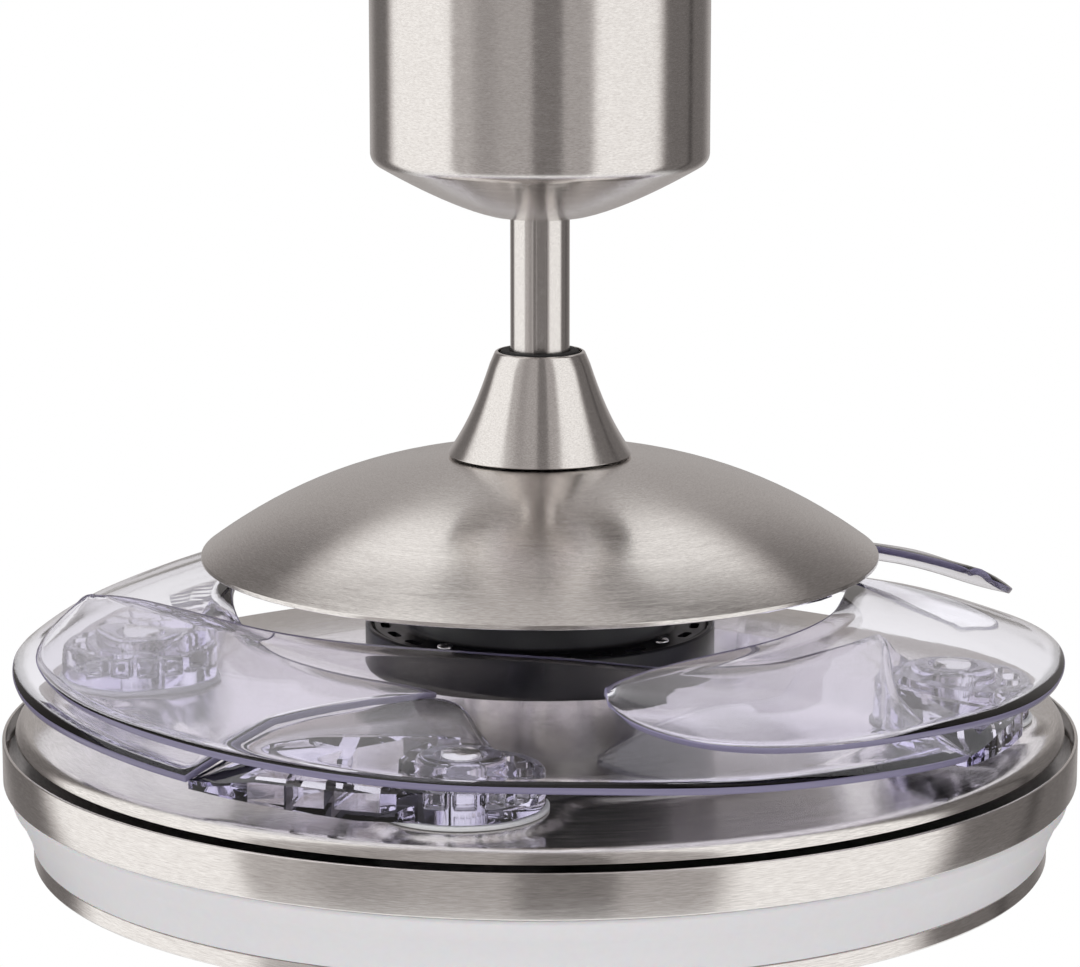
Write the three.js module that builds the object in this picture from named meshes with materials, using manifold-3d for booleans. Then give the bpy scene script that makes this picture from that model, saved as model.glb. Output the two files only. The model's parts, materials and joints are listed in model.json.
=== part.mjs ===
// Ceiling fan with four clear retractable blades and a round light kit, hung on a short downrod.
// Millimetres, +Z up. The origin is the centre of the ceiling plate's top face, so the fan hangs
// below z = 0. The fan's front is -Y.
import * as THREE from 'three';
import Module from 'manifold-3d';
import { mergeVertices } from 'three/addons/utils/BufferGeometryUtils.js';

const wasm = await Module();
wasm.setup();

// ---- Driving dimensions -------------------------------------------------------------------

const GAP = 0.3; // between pieces that touch on the real fan
const FINE = 36; // facets round the large covers and rings
const MEDIUM = 24; // facets round motor parts
const COARSE = 16; // facets round small turned parts
const SCREW_FACETS = 8;

// Ceiling end
const PLATE = { x: 162, y: 60, thick: 3, slotX: 56, slotR: 3.2, ear: 2.5, earLow: -20 };
const BALL_Z = -40; // centre of the hanger ball
const BALL_R = 24;
const SEAT = { outer: 34, low: -56, high: -47, play: 0.8, mouth: 32 };
const RECEIVER = { x: 56, y: 25, low: -19, centreY: 14 };
const WIRE_HOLE = { r: 8, x: 24, y: -17 };
const CANOPY = { r: 83.7, wall: 1.2, straightEnd: -112, bottom: -144, holeR: 20.5, screwZ: -13 };

// Downrod and the yoke it ends in
const ROD = { r: 14.75, bore: 12.25, top: -20, bottom: -256 };
const YOKE = { r: 20, flangeR: 42, flangeTop: -268.2, flangeThick: 5, top: -226 };
const COVER = { topR: 20.9, topZ: -211.4, bottomR: 46, bottomZ: -262, wall: 1.2 };
const GASKET = { low: -216, top: -211.8, lip: 1 };

// Dome cover over the motor
const DOME = { rimR: 169.5, rimZ: -312.6, rise: 50.4, power: 2.5, wall: 1.2, lip: 2 };

// Motor
const SHAFT = { r: 9, bore: 6, bottom: -432 };
const MOTOR = { r: 68, wall: 3, top: -297 };
const DRUM = { r: 87.8, top: -349.3, bottom: -370.9, wall: 3 };
const NECK = { r: 37.9, wall: 3 };
const STATOR = { r: 61.5, low: -336, high: -316, windingInner: 27, windingOuter: 47, windingTall: 7 };
const BEARING = { r: 20, thick: 8 };
const CASE_SCREWS = { r: 75.5, firstDeg: -38, holeDepth: 12.7 };
const VENT = { r: 78, x: 12, y: 4.6, places: 24 };

// Blade carrier: the brushed pan that the blades turn on
const PAN = { flatR: 257, edgeR: 263.5, topZ: -393, edgeZ: -397.6, lowZ: -404, wall: 1.5 };
const PIVOT_R = 207; // radius of the circle of blade pivots
const FIRST_PIVOT_DEG = -10; // from the front, towards the right
const BLADES = 4;
const PAD = { r: 43, rise: 3 };
const BUSH = { flangeR: 40.5, flangeThick: 1.4, bore: 8.3, wall: 3 };
const SPRING = { r: 15, wireR: 0.8, top: -396.1, pitch: 1.5, turns: 1.75 };
const SPINDLE = { r: 8, capR: 9.5, capTop: -362 };
const BLADE_HUB = { r: 38.8, top: -372 };
const SHEET = 3.6; // blade thickness

// Gears that keep the blades together
const GEAR = { module: 5.75, pinionTeeth: 12, ringTeeth: 60, backlash: 0.7, top: -400.3, thick: 3.6 };
const RING_BORE = 158.6;
const RUNNING = 0.9; // between two round pieces that turn on each other at a large radius

// Light kit
const LIGHT_PLATE = { r: 262, z: -411, thick: 1.5 };
const TRIM = { r: 270, top: -401.6, bottom: -423.4, wall: 1.6 };
const BAND = { topR: 268, bottomR: 256, top: -424, bottom: -455, wall: 2.2 };
const LOWER_RING = { r: 255.6, bottom: -464.2, wall: 4 };
const LENS = { drop: 14, wall: 2.2 };
const DRIVER = { x: 96, y: 38, tall: 23.7, centreY: 70 };
const LED_BOARD = { outer: 236, inner: 132, thick: 1.6 };

// ---- Materials ----------------------------------------------------------------------------

const finish = (color, roughness, metalness, opacity = 1) =>
  new THREE.MeshStandardMaterial({ color, roughness, metalness, opacity, transparent: opacity < 1 });

const nickel = finish(0xb8b2ab, 0.35, 1);
const steel = finish(0x9a9a9c, 0.4, 1);
const chrome = finish(0xd8d8da, 0.12, 1);
const blackMetal = finish(0x1d1c20, 0.45, 0.6);
const blackRubber = finish(0x141416, 0.7, 0);
const clearSheet = finish(0xd9d2ea, 0.05, 0, 0.35);
const opal = finish(0xe6e1e8, 0.4, 0);
const whitePlastic = finish(0xe9e7ea, 0.5, 0);
const aluminium = finish(0xc2c4c6, 0.45, 1);
const copper = finish(0xb0693c, 0.4, 1);

// ---- Helpers ------------------------------------------------------------------------------

const radians = THREE.MathUtils.degToRad;

// The point at a radius and a bearing, counted from the front towards the right.
const onCircle = (radius, bearing, z) =>
  new THREE.Vector3(radius * Math.sin(radians(bearing)), -radius * Math.cos(radians(bearing)), z);

// Turns the faces of a closed mesh outwards and keeps only its positions.
function closed(geometry) {
  const bare = geometry.clone();
  bare.deleteAttribute('normal');
  bare.deleteAttribute('uv');
  const merged = mergeVertices(bare, 1e-4);
  const position = merged.attributes.position;
  const index = merged.index.array;
  const [a, b, c] = [new THREE.Vector3(), new THREE.Vector3(), new THREE.Vector3()];
  let volume = 0;
  for (let i = 0; i < index.length; i += 3) {
    a.fromBufferAttribute(position, index[i]);
    b.fromBufferAttribute(position, index[i + 1]);
    c.fromBufferAttribute(position, index[i + 2]);
    volume += a.dot(b.cross(c));
  }
  if (volume < 0) {
    for (let i = 0; i < index.length; i += 3) [index[i], index[i + 1]] = [index[i + 1], index[i]];
  }
  return merged;
}

function toSolid(geometry) {
  const mesh = closed(geometry);
  const vertProperties = new Float32Array(mesh.attributes.position.array);
  const triVerts = new Uint32Array(mesh.index.array);
  return new wasm.Manifold(new wasm.Mesh({ numProp: 3, vertProperties, triVerts }));
}

function fromSolid(solid) {
  const { vertProperties, triVerts } = solid.getMesh();
  const geometry = new THREE.BufferGeometry();
  geometry.setAttribute('position', new THREE.BufferAttribute(vertProperties, 3));
  geometry.setIndex(new THREE.BufferAttribute(triVerts, 1));
  return geometry;
}

const join = (...pieces) => fromSolid(pieces.map(toSolid).reduce((all, next) => all.add(next)));
const cut = (body, ...tools) =>
  fromSolid(tools.map(toSolid).reduce((rest, tool) => rest.subtract(tool), toSolid(body)));

const common = (body, region) => fromSolid(toSolid(body).intersect(toSolid(region)));

// A body turned about the Z axis from a closed outline of [radius, z] points.
function turned(outline, facets = FINE) {
  const onAxis = outline[0][0] === 0 && outline.at(-1)[0] === 0;
  const loop = onAxis ? outline : [...outline, outline[0]];
  const points = loop.map(([radius, z]) => new THREE.Vector2(radius, z));
  return closed(new THREE.LatheGeometry(points, facets).rotateX(Math.PI / 2));
}

const tube = (outer, inner, low, high, facets) =>
  turned([[inner, low], [outer, low], [outer, high], [inner, high]], facets);

const rod = (radius, low, high, facets) =>
  turned([[0, low], [radius, low], [radius, high], [0, high]], facets);

const hexNut = (cornerR, bore, low, high) =>
  cut(rod(cornerR, low, high, 6), rod(bore, low - 1, high + 1, MEDIUM));

// A thin wall with a line of [radius, z] points as its seen face. The other face lies to the right
// of the line, or to its left where the thickness is negative, and leaves out every second point.
function shell(line, thickness, facets) {
  const other = line.map(([radius, z], i) => {
    const before = line[Math.max(i - 1, 0)];
    const after = line[Math.min(i + 1, line.length - 1)];
    const along = new THREE.Vector2(after[0] - before[0], after[1] - before[1]).normalize();
    return [radius + along.y * thickness, z - along.x * thickness];
  });
  const kept = other.filter((_, i) => i % 2 === 0 || i === line.length - 1);
  return turned([...line, ...kept.reverse()], facets);
}

function box(x, y, low, high, centre = [0, 0]) {
  return new THREE.BoxGeometry(x, y, high - low).translate(centre[0], centre[1], (low + high) / 2);
}

// A flat plate from an outline of Vector2 points, with round or shaped holes.
function plate(outline, low, high, holes = []) {
  const shape = new THREE.Shape(outline);
  shape.holes = holes.map((hole) => new THREE.Path(hole));
  const depth = high - low;
  return closed(new THREE.ExtrudeGeometry(shape, { depth, bevelEnabled: false }).translate(0, 0, low));
}

const circle = (radius, facets, x = 0, y = 0) =>
  Array.from({ length: facets }, (_, i) => {
    const angle = (2 * Math.PI * i) / facets;
    return new THREE.Vector2(x + radius * Math.cos(angle), y + radius * Math.sin(angle));
  });

// Rod along X or Y, for pins and side screws.
const crossRod = (radius, length, facets, axis) => {
  const geometry = new THREE.CylinderGeometry(radius, radius, length, facets);
  return axis === 'x' ? geometry.rotateZ(Math.PI / 2) : geometry;
};

// A pan-head screw with its head's underside at z = 0 and its shank pointing down.
function screw(headR, headThick, shankR, shankLength) {
  const dome = [[0, headThick], [headR * 0.6, headThick * 0.9], [headR, headThick * 0.3], [headR, 0]];
  const shank = [[shankR, 0], [shankR, -shankLength], [0, -shankLength]];
  const body = turned([...dome, ...shank].reverse(), SCREW_FACETS);
  return cut(body, box(headR * 1.1, headR * 0.28, headThick * 0.5, headThick * 1.2));
}

const fan = new THREE.Group();

function add(name, geometry, material, parent = fan) {
  const mesh = new THREE.Mesh(geometry, material);
  mesh.name = name;
  parent.add(mesh);
  return mesh;
}

// ---- Ceiling end: bracket, canopy and wiring -------------------------------------------------

// Slotted plate with an ear at each end for the canopy, and two arms that hold the ball's seat. The
// seat is open at the front, where the rod goes in.
function hangerBracket() {
  const { x, y, thick, slotX, slotR, ear, earLow } = PLATE;
  const slots = [-1, 1].map((side) =>
    box(4 * slotR, 2 * slotR, -thick - 1, 1, [side * slotX, 0]));
  const strip = common(box(x + 1, y, -thick, 0), rod(x / 2, -thick - 1, 1, FINE));
  const wireHoles = [-1, 1].map((side) =>
    rod(WIRE_HOLE.r, -thick - 1, 1, COARSE).translate(side * WIRE_HOLE.x, WIRE_HOLE.y, 0));
  const base = cut(strip, ...slots, ...wireHoles);
  const ears = [-1, 1].map((side) => box(ear, 16, earLow, -thick + 1, [side * (x / 2 - 2), 0]));
  const holes = [-1, 1].map((side) =>
    crossRod(2.5, 12, SCREW_FACETS, 'x').translate((side * x) / 2, 0, CANOPY.screwZ));
  const arms = [-1, 1].map((side) =>
    box(4, y / 2, SEAT.low + 1, -thick + 1, [side * (SEAT.outer + 1), 0]));
  const seatR = BALL_R + SEAT.play;
  const radiusAt = (z) => Math.sqrt(seatR ** 2 - (z - BALL_Z) ** 2);
  const heights = [SEAT.low, (SEAT.low + SEAT.high) / 2, SEAT.high];
  const bowl = heights.map((z) => [radiusAt(z), z]);
  const seat = turned([...bowl, [SEAT.outer, SEAT.high], [SEAT.outer, SEAT.low]], MEDIUM);
  const mouth = box(SEAT.mouth, SEAT.outer + 1, SEAT.low - 1, SEAT.high + 1, [0, -SEAT.outer / 2]);
  return cut(join(base, ...ears, ...arms, seat), ...holes, mouth);
}

function canopyShell() {
  const { r, straightEnd, bottom, holeR, wall } = CANOPY;
  const cornerR = 7;
  const corner = [28, 62].map((deg) => [
    r - cornerR * (1 - Math.cos(radians(deg))),
    straightEnd - cornerR * Math.sin(radians(deg)),
  ]);
  const [edgeR, edgeZ] = corner.at(-1);
  const dish = [(edgeR + holeR) / 2, (edgeZ + bottom) / 2 - 3];
  return shell([[holeR, bottom], dish, ...corner.reverse(), [r, straightEnd], [r, -0.5]], -wall);
}

add('hanger_bracket', hangerBracket(), steel);
const canopyHoles = [-1, 1].map((side) =>
  crossRod(2.6, 12, SCREW_FACETS, 'x').translate(side * CANOPY.r, 0, CANOPY.screwZ));
add('canopy', cut(canopyShell(), ...canopyHoles), nickel);
for (const [name, side] of [['left', -1], ['right', 1]]) {
  const mesh = add(`canopy_screw_${name}`, screw(5, 2.4, 2.2, 10), chrome);
  mesh.position.set(side * (CANOPY.r + GAP), 0, CANOPY.screwZ);
  mesh.rotation.y = (side * Math.PI) / 2;
}
const receiver = box(RECEIVER.x, RECEIVER.y, RECEIVER.low, -PLATE.thick - GAP, [0, RECEIVER.centreY]);
add('remote_receiver', receiver, whitePlastic);

// ---- Hanger ball, downrod and yoke ----------------------------------------------------------

function hangerBall() {
  const bore = ROD.r + 1.6;
  const half = Math.sqrt(BALL_R ** 2 - (bore + 2) ** 2);
  const outside = [-1, -0.55, 0, 0.55, 1].map((t) =>
    [Math.sqrt(BALL_R ** 2 - (t * half) ** 2), BALL_Z + t * half]);
  const ball = turned([[bore, BALL_Z - half], ...outside, [bore, BALL_Z + half]], MEDIUM);
  return cut(ball, crossRod(3.9, 60, SCREW_FACETS, 'y').translate(0, 0, BALL_Z));
}

add('hanger_ball', hangerBall(), blackMetal);

const rodTube = cut(
  tube(ROD.r, ROD.bore, ROD.bottom, ROD.top, COARSE + 4),
  crossRod(3.3, 60, SCREW_FACETS, 'y').translate(0, 0, BALL_Z),
  crossRod(3.3, 60, SCREW_FACETS, 'y').translate(0, 0, ROD.bottom + 12),
);
add('downrod', rodTube, nickel);
add('hanger_pin', crossRod(3, 40, SCREW_FACETS, 'y').translate(0, 0, BALL_Z), steel);

function motorYoke() {
  const { r, flangeR, flangeTop, flangeThick, top } = YOKE;
  const low = flangeTop - flangeThick;
  const socket = ROD.r + GAP;
  const floor = ROD.bottom - 2;
  const body = turned([
    [SHAFT.r + GAP, low], [flangeR, low], [flangeR, flangeTop], [r, flangeTop],
    [r, top], [socket, top], [socket, floor], [SHAFT.r + GAP, floor],
  ], MEDIUM);
  const screwHoles = [-1, 1].map((side) =>
    crossRod(2.3, 12, SCREW_FACETS, 'x').translate(side * r, 0, top - 8));
  const pinHole = crossRod(3.3, 60, SCREW_FACETS, 'y').translate(0, 0, ROD.bottom + 12);
  return cut(body, ...screwHoles, pinHole);
}

add('motor_yoke', motorYoke(), blackMetal);
add('yoke_pin', crossRod(3, 52, SCREW_FACETS, 'y').translate(0, 0, ROD.bottom + 12), steel);
for (const [name, side] of [['left', -1], ['right', 1]]) {
  const start = ROD.r + GAP;
  const grub = crossRod(2, YOKE.r + 1 - start, SCREW_FACETS, 'x');
  add(`yoke_set_screw_${name}`, grub.translate((side * (YOKE.r + 1 + start)) / 2, 0, YOKE.top - 8), steel);
}

// ---- Cone-shaped yoke cover, free to slide up the rod ------------------------------------------

function coverShell() {
  const { topR, topZ, bottomR, bottomZ, wall } = COVER;
  const flare = (t) => topR + 2 + (bottomR - topR - 2) * (0.72 * t + 0.28 * t ** 3);
  const line = [1, 0.8, 0.58, 0.34, 0.08].map((t) => [
    flare(t), THREE.MathUtils.lerp(topZ, bottomZ, t),
  ]);
  return shell([...line, [topR, topZ]], -wall, MEDIUM);
}

add('yoke_cover', coverShell(), nickel);
const gasketOuter = COVER.topR - COVER.wall - GAP;
add('cover_gasket', turned([
  [ROD.r + GAP, GASKET.low], [gasketOuter, GASKET.low], [gasketOuter, GASKET.top],
  [ROD.r + 2.6, GASKET.top + GASKET.lip], [ROD.r + GAP, GASKET.top],
], MEDIUM), blackRubber);

// ---- Dome cover -----------------------------------------------------------------------------

function domeShell() {
  const { rimR, rimZ, rise, power, wall, lip } = DOME;
  const holeR = YOKE.r + 2;
  const steps = [0.985, 0.9, 0.77, 0.6, 0.38, holeR / rimR];
  const line = steps.map((t) => [rimR * t, rimZ + rise * (1 - t ** power)]);
  return shell([[rimR, rimZ - lip], [rimR, rimZ], ...line], -wall);
}

add('dome_cover', domeShell(), nickel);
const domeTop = DOME.rimZ + DOME.rise;
add('dome_nut', hexNut(29, YOKE.r + GAP, domeTop + GAP, domeTop + 5), steel);

// ---- Motor: fixed shaft and stator, turning case, drum and neck ------------------------------

add('motor_shaft', tube(SHAFT.r, SHAFT.bore, SHAFT.bottom, ROD.bottom - 1 - GAP, COARSE), steel);

const statorSlots = 9;
function statorCore() {
  const slots = Array.from({ length: statorSlots }, (_, i) =>
    box(14, 5, STATOR.low - 1, STATOR.high + 1, [56, 0]).rotateZ((2 * Math.PI * i) / statorSlots));
  return cut(tube(STATOR.r, SHAFT.r + GAP, STATOR.low, STATOR.high, FINE), ...slots);
}
add('stator_core', statorCore(), steel);
const windingLow = STATOR.high + GAP;
const windingHigh = STATOR.high + STATOR.windingTall;
const winding = tube(STATOR.windingOuter, STATOR.windingInner, windingLow, windingHigh, MEDIUM);
add('stator_winding', winding, copper);

// Everything from here to the blade carrier turns with the rotor.
const holderR = BEARING.r + GAP;
const wallInner = MOTOR.r - MOTOR.wall;
const flangeR = DRUM.r - DRUM.wall - RUNNING;
const screwBearings = [0, 1, 2, 3].map((i) => CASE_SCREWS.firstDeg + 90 * i);

// Inverted cup with a slotted flange that lies inside the drum's lip.
function rotorCase() {
  const { r, wall, top } = MOTOR;
  const low = DRUM.top - 2.5;
  const bearingLow = top - wall - BEARING.thick - 1;
  const body = turned([
    [SHAFT.r + 2, top - wall], [SHAFT.r + 2, top], [r - 8, top], [r, top - 8], [r, DRUM.top],
    [flangeR, DRUM.top], [flangeR, low], [wallInner, low], [wallInner, top - 9],
    [wallInner - 6, top - wall],
    [holderR + 4, top - wall], [holderR + 4, bearingLow], [holderR, bearingLow], [holderR, top - wall],
  ], MEDIUM);
  const vents = Array.from({ length: VENT.places }, (_, i) => i)
    .filter((i) => i % (VENT.places / 4) !== 0)
    .map((i) => box(VENT.x, VENT.y, low - 1, DRUM.top + 1, [0, -VENT.r])
      .rotateZ(radians(CASE_SCREWS.firstDeg + (360 / VENT.places) * i)));
  const holes = screwBearings.map((bearingDeg) =>
    rod(2.3, low - 1, DRUM.top + 1, SCREW_FACETS).translate(...onCircle(CASE_SCREWS.r, bearingDeg, 0)));
  return cut(body, ...vents, ...holes);
}
add('rotor_case', rotorCase(), blackMetal);
const upperTop = MOTOR.top - MOTOR.wall - GAP;
add('upper_bearing', tube(BEARING.r, SHAFT.r + GAP, upperTop - BEARING.thick, upperTop, COARSE), steel);
add('magnet_ring', tube(wallInner - GAP, STATOR.r + 0.8, STATOR.low, STATOR.high, MEDIUM), steel);

// Shallow pot under the case. It carries the lower bearing and the neck.
function motorDrum() {
  const { r, top, bottom, wall } = DRUM;
  const floor = bottom + wall;
  const ledge = top - 2.5 - GAP;
  const holderTop = floor + BEARING.thick + 1;
  return turned([
    [SHAFT.r + 2, bottom], [r - 1.2, bottom], [r, bottom + 1.2], [r, top], [r - 1, top + 1],
    [r - wall, top + 1], [r - wall, ledge], [r - wall - 4, ledge], [r - wall - 4, floor],
    [holderR + 4, floor], [holderR + 4, holderTop], [holderR, holderTop], [holderR, floor],
    [SHAFT.r + 2, floor],
  ], FINE);
}
const tapped = screwBearings.map((bearingDeg) =>
  rod(1.9, DRUM.top - CASE_SCREWS.holeDepth, DRUM.top, SCREW_FACETS)
    .translate(...onCircle(CASE_SCREWS.r, bearingDeg, 0)));
add('motor_drum', cut(motorDrum(), ...tapped), blackMetal);
const lowerLow = DRUM.bottom + DRUM.wall + GAP;
add('lower_bearing', tube(BEARING.r, SHAFT.r + GAP, lowerLow, lowerLow + BEARING.thick, COARSE), steel);
screwBearings.forEach((bearingDeg, i) => {
  const mesh = add(`case_screw_${i + 1}`, screw(4, 2.2, 1.6, 2.2), chrome);
  mesh.position.copy(onCircle(CASE_SCREWS.r, bearingDeg, DRUM.top + GAP));
});
add('blade_neck', tube(NECK.r, NECK.r - NECK.wall, PAN.topZ + GAP, DRUM.bottom - GAP, FINE), nickel);

// ---- Blade carrier ----------------------------------------------------------------------------

const pivots = Array.from({ length: BLADES }, (_, i) => FIRST_PIVOT_DEG + (360 / BLADES) * i);
const panLow = PAN.topZ - PAN.wall;
const bushR = BUSH.bore + BUSH.wall;
const padTop = PAN.topZ + PAD.rise;
const rib = { outer: RING_BORE - RUNNING, wall: 6, low: GEAR.top - GEAR.thick - GAP };

// A brushed pan with a rolled edge, four raised pads, and a rib below that guides the gear ring.
function bladeCarrier() {
  const { flatR, edgeR, topZ, edgeZ, lowZ, wall } = PAN;
  const roll = [[flatR + 3.4, topZ - 0.7], [edgeR - 0.8, edgeZ + 1.6]];
  const flat = [[NECK.r - 8, topZ], [flatR, topZ]];
  const sheet = shell([...flat, ...roll, [edgeR, edgeZ - 0.8], [edgeR, lowZ]], wall);
  const pads = pivots.map((bearingDeg) => turned(
    [[0, panLow + 0.4], [PAD.r + 6, panLow + 0.4], [PAD.r + 6, topZ + 0.3], [PAD.r + 1.4, padTop - 0.6],
      [PAD.r - 1, padTop], [0, padTop]], 18,
  ).translate(...onCircle(PIVOT_R, bearingDeg, 0)));
  const guide = tube(rib.outer, rib.outer - rib.wall, rib.low, panLow + 0.4, FINE);
  const bores = pivots.map((bearingDeg) =>
    rod(bushR + GAP, rib.low, padTop + 1, COARSE).translate(...onCircle(PIVOT_R, bearingDeg, 0)));
  return cut(join(sheet, guide, ...pads), ...bores);
}
add('blade_carrier', bladeCarrier(), nickel);
const keeperTop = rib.low - GAP;
add('ring_keeper', tube(RING_BORE + 6, rib.outer - rib.wall, keeperTop - 1.6, keeperTop, FINE), steel);

// ---- Gears --------------------------------------------------------------------------------

// One tooth's outline, from involute flanks, centred on the +X axis.
function toothOutline(teeth, flankRadii, rootR) {
  const pressure = radians(22);
  const involute = (angle) => Math.tan(angle) - angle;
  const pitchR = (GEAR.module * teeth) / 2;
  const baseR = pitchR * Math.cos(pressure);
  const halfAtPitch = Math.PI / (2 * teeth) - GEAR.backlash / (4 * pitchR);
  const half = (r) => halfAtPitch + involute(pressure) - involute(Math.acos(Math.min(1, baseR / r)));
  const flank = [rootR, ...flankRadii].map((r) => [r, half(Math.max(r, baseR))]);
  return [...flank.map(([r, a]) => [r, -a]), ...flank.reverse()];
}

function gearOutline(teeth, flankFractions) {
  const pitchR = (GEAR.module * teeth) / 2;
  const rootR = pitchR - 1.2 * GEAR.module;
  const flankRadii = flankFractions.map((t) => pitchR + t * GEAR.module);
  const tooth = toothOutline(teeth, flankRadii, rootR);
  return Array.from({ length: teeth }, (_, i) => tooth.map(([r, a]) => {
    const angle = a + (2 * Math.PI * i) / teeth;
    return new THREE.Vector2(r * Math.cos(angle), r * Math.sin(angle));
  })).flat();
}

const gearLow = GEAR.top - GEAR.thick;
const ringHole = circle(RING_BORE, FINE).reverse();
const ring = plate(gearOutline(GEAR.ringTeeth, [0.9]), gearLow, GEAR.top, [ringHole]);
add('sync_ring', ring.rotateZ(radians(FIRST_PIVOT_DEG - 90)), whitePlastic);

// The pinion has a gap, not a tooth, on the line to the middle of the fan.
function pinionGear() {
  const bore = circle(SPINDLE.r + GAP, COARSE).reverse();
  const gear = plate(gearOutline(GEAR.pinionTeeth, [0.1, 0.9]), gearLow, GEAR.top, [bore]);
  return gear.rotateZ(radians(90) + Math.PI / GEAR.pinionTeeth);
}

// ---- Blades, each with its bush, spindle, pinion and return spring ------------------------------

// The blade's two long edges as [degrees clockwise from the pivot, radius, height], in matching
// pairs from the root to the tip. Heights are the middle of the sheet's thickness.
const INNER_EDGE = [
  [0.5, 173, -352], [10, 172, -346], [25, 168.5, -344.8], [42, 162, -344.4], [58, 156.5, -339.5],
  [75, 154, -333], [94, 153.5, -330.4], [112, 162, -329.3], [130, 171, -329.3], [144, 183.5, -328],
  [154, 199, -327.8], [160, 213, -328.8], [162.3, 220, -330.6], [162.9, 224, -332.2],
];
const OUTER_EDGE = [
  [-9, 232, -385], [9, 248, -383], [26, 256.5, -378.5], [43, 262.5, -373], [59, 264.8, -369.7],
  [76, 263.3, -366.3], [93, 262, -365.6], [110, 264, -362], [126, 265.5, -357.6], [142, 260, -356],
  [152.5, 257, -351], [159, 246.5, -343.5], [162, 233, -336.5], [162.9, 227.5, -334],
];
const CAMBER = 3;
const ROOT_END = 42; // degrees along the blade where the thick root runs out
const ROOT_LOW = padTop + BUSH.flangeThick + 2 * GAP;

function bladeSection(inner, outer, steps) {
  const top = [];
  const bottom = [];
  for (let i = 0; i <= steps; i++) {
    const t = i / steps;
    const [along, radius, height] = inner.clone().lerp(outer, t).toArray();
    const middle = height + CAMBER * 4 * t * (1 - t);
    const under = middle - SHEET / 2;
    const root = THREE.MathUtils.clamp(1 - along / ROOT_END, 0, 1) ** 0.8;
    const weight = root * THREE.MathUtils.smoothstep(t, 0.4, 0.75);
    top.push(onCircle(radius, -along, middle + SHEET / 2));
    bottom.push(onCircle(radius, -along, THREE.MathUtils.lerp(under, Math.min(under, ROOT_LOW), weight)));
  }
  return [...top, ...bottom.reverse()];
}

function bladeSheet() {
  const chordSteps = 4;
  const lengthSteps = 2 * (INNER_EDGE.length - 1);
  const [innerEdge, outerEdge] = [INNER_EDGE, OUTER_EDGE].map((edge) =>
    new THREE.CatmullRomCurve3(edge.map((point) => new THREE.Vector3(...point)), false, 'catmullrom', 0.5));
  const rings = [];
  for (let i = 0; i <= lengthSteps; i++) {
    const u = i / lengthSteps;
    rings.push(bladeSection(innerEdge.getPoint(u), outerEdge.getPoint(u), chordSteps));
  }
  const count = rings[0].length;
  const index = [];
  for (let i = 0; i < lengthSteps; i++) {
    for (let j = 0; j < count; j++) {
      const [a, b] = [i * count + j, i * count + ((j + 1) % count)];
      index.push(a, b, a + count, b, b + count, a + count);
    }
  }
  for (let j = 1; j < count - 1; j++) {
    const end = lengthSteps * count;
    index.push(0, j + 1, j, end, end + j, end + j + 1);
  }
  const geometry = new THREE.BufferGeometry().setFromPoints(rings.flat());
  return geometry.setIndex(index);
}

// The sheet and its round hub, moved so that the pivot is at the origin of X and Y.
function blade() {
  const pivot = onCircle(PIVOT_R, 0, 0);
  const hub = turned([
    [0, ROOT_LOW], [BLADE_HUB.r, ROOT_LOW], [BLADE_HUB.r, BLADE_HUB.top - 3],
    [BLADE_HUB.r - 3, BLADE_HUB.top], [18, BLADE_HUB.top], [17, SPINDLE.capTop - 3], [0, SPINDLE.capTop - 3],
  ], 18);
  const bore = rod(SPINDLE.r + GAP, ROOT_LOW - 1, SPINDLE.capTop, COARSE);
  const pocket = rod(SPINDLE.capR + 1, SPINDLE.capTop - 3, SPINDLE.capTop + 20, COARSE);
  return cut(join(bladeSheet().translate(-pivot.x, -pivot.y, 0), hub), bore, pocket);
}

const bladeShape = blade();
const pinionShape = pinionGear();
const spindleShape = turned([
  [0, gearLow - 1], [SPINDLE.r, gearLow - 1], [SPINDLE.r, SPINDLE.capTop - 3 + GAP],
  [SPINDLE.capR, SPINDLE.capTop - 3 + GAP], [SPINDLE.capR - 1, SPINDLE.capTop], [0, SPINDLE.capTop],
], COARSE);
const bushShape = turned([
  [BUSH.bore, -397], [bushR, -397], [bushR, padTop + GAP], [BUSH.flangeR, padTop + GAP],
  [BUSH.flangeR, ROOT_LOW - GAP], [BUSH.bore, ROOT_LOW - GAP],
], COARSE);

class Coil extends THREE.Curve {
  getPoint(t) {
    const turn = SPRING.turns * t;
    const angle = 2 * Math.PI * turn;
    const [x, y] = [SPRING.r * Math.cos(angle), SPRING.r * Math.sin(angle)];
    return new THREE.Vector3(x, y, SPRING.top - SPRING.pitch * turn);
  }
}
const wire = new THREE.Shape(circle(SPRING.wireR, 5));
const coilPath = { steps: 18, extrudePath: new Coil(), bevelEnabled: false };
const springShape = closed(new THREE.ExtrudeGeometry(wire, coilPath));

pivots.forEach((bearingDeg, i) => {
  const place = new THREE.Group();
  place.position.copy(onCircle(PIVOT_R, bearingDeg, 0));
  place.rotation.z = radians(bearingDeg);
  fan.add(place);
  const number = i + 1;
  add(`blade_${number}`, bladeShape, clearSheet, place);
  add(`pivot_spindle_${number}`, spindleShape, steel, place);
  add(`pivot_pinion_${number}`, pinionShape, whitePlastic, place);
  add(`pivot_bush_${number}`, bushShape, whitePlastic, place);
  add(`return_spring_${number}`, springShape, steel, place);
});

// ---- Light kit, fixed to the lower end of the shaft ---------------------------------------------

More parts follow.
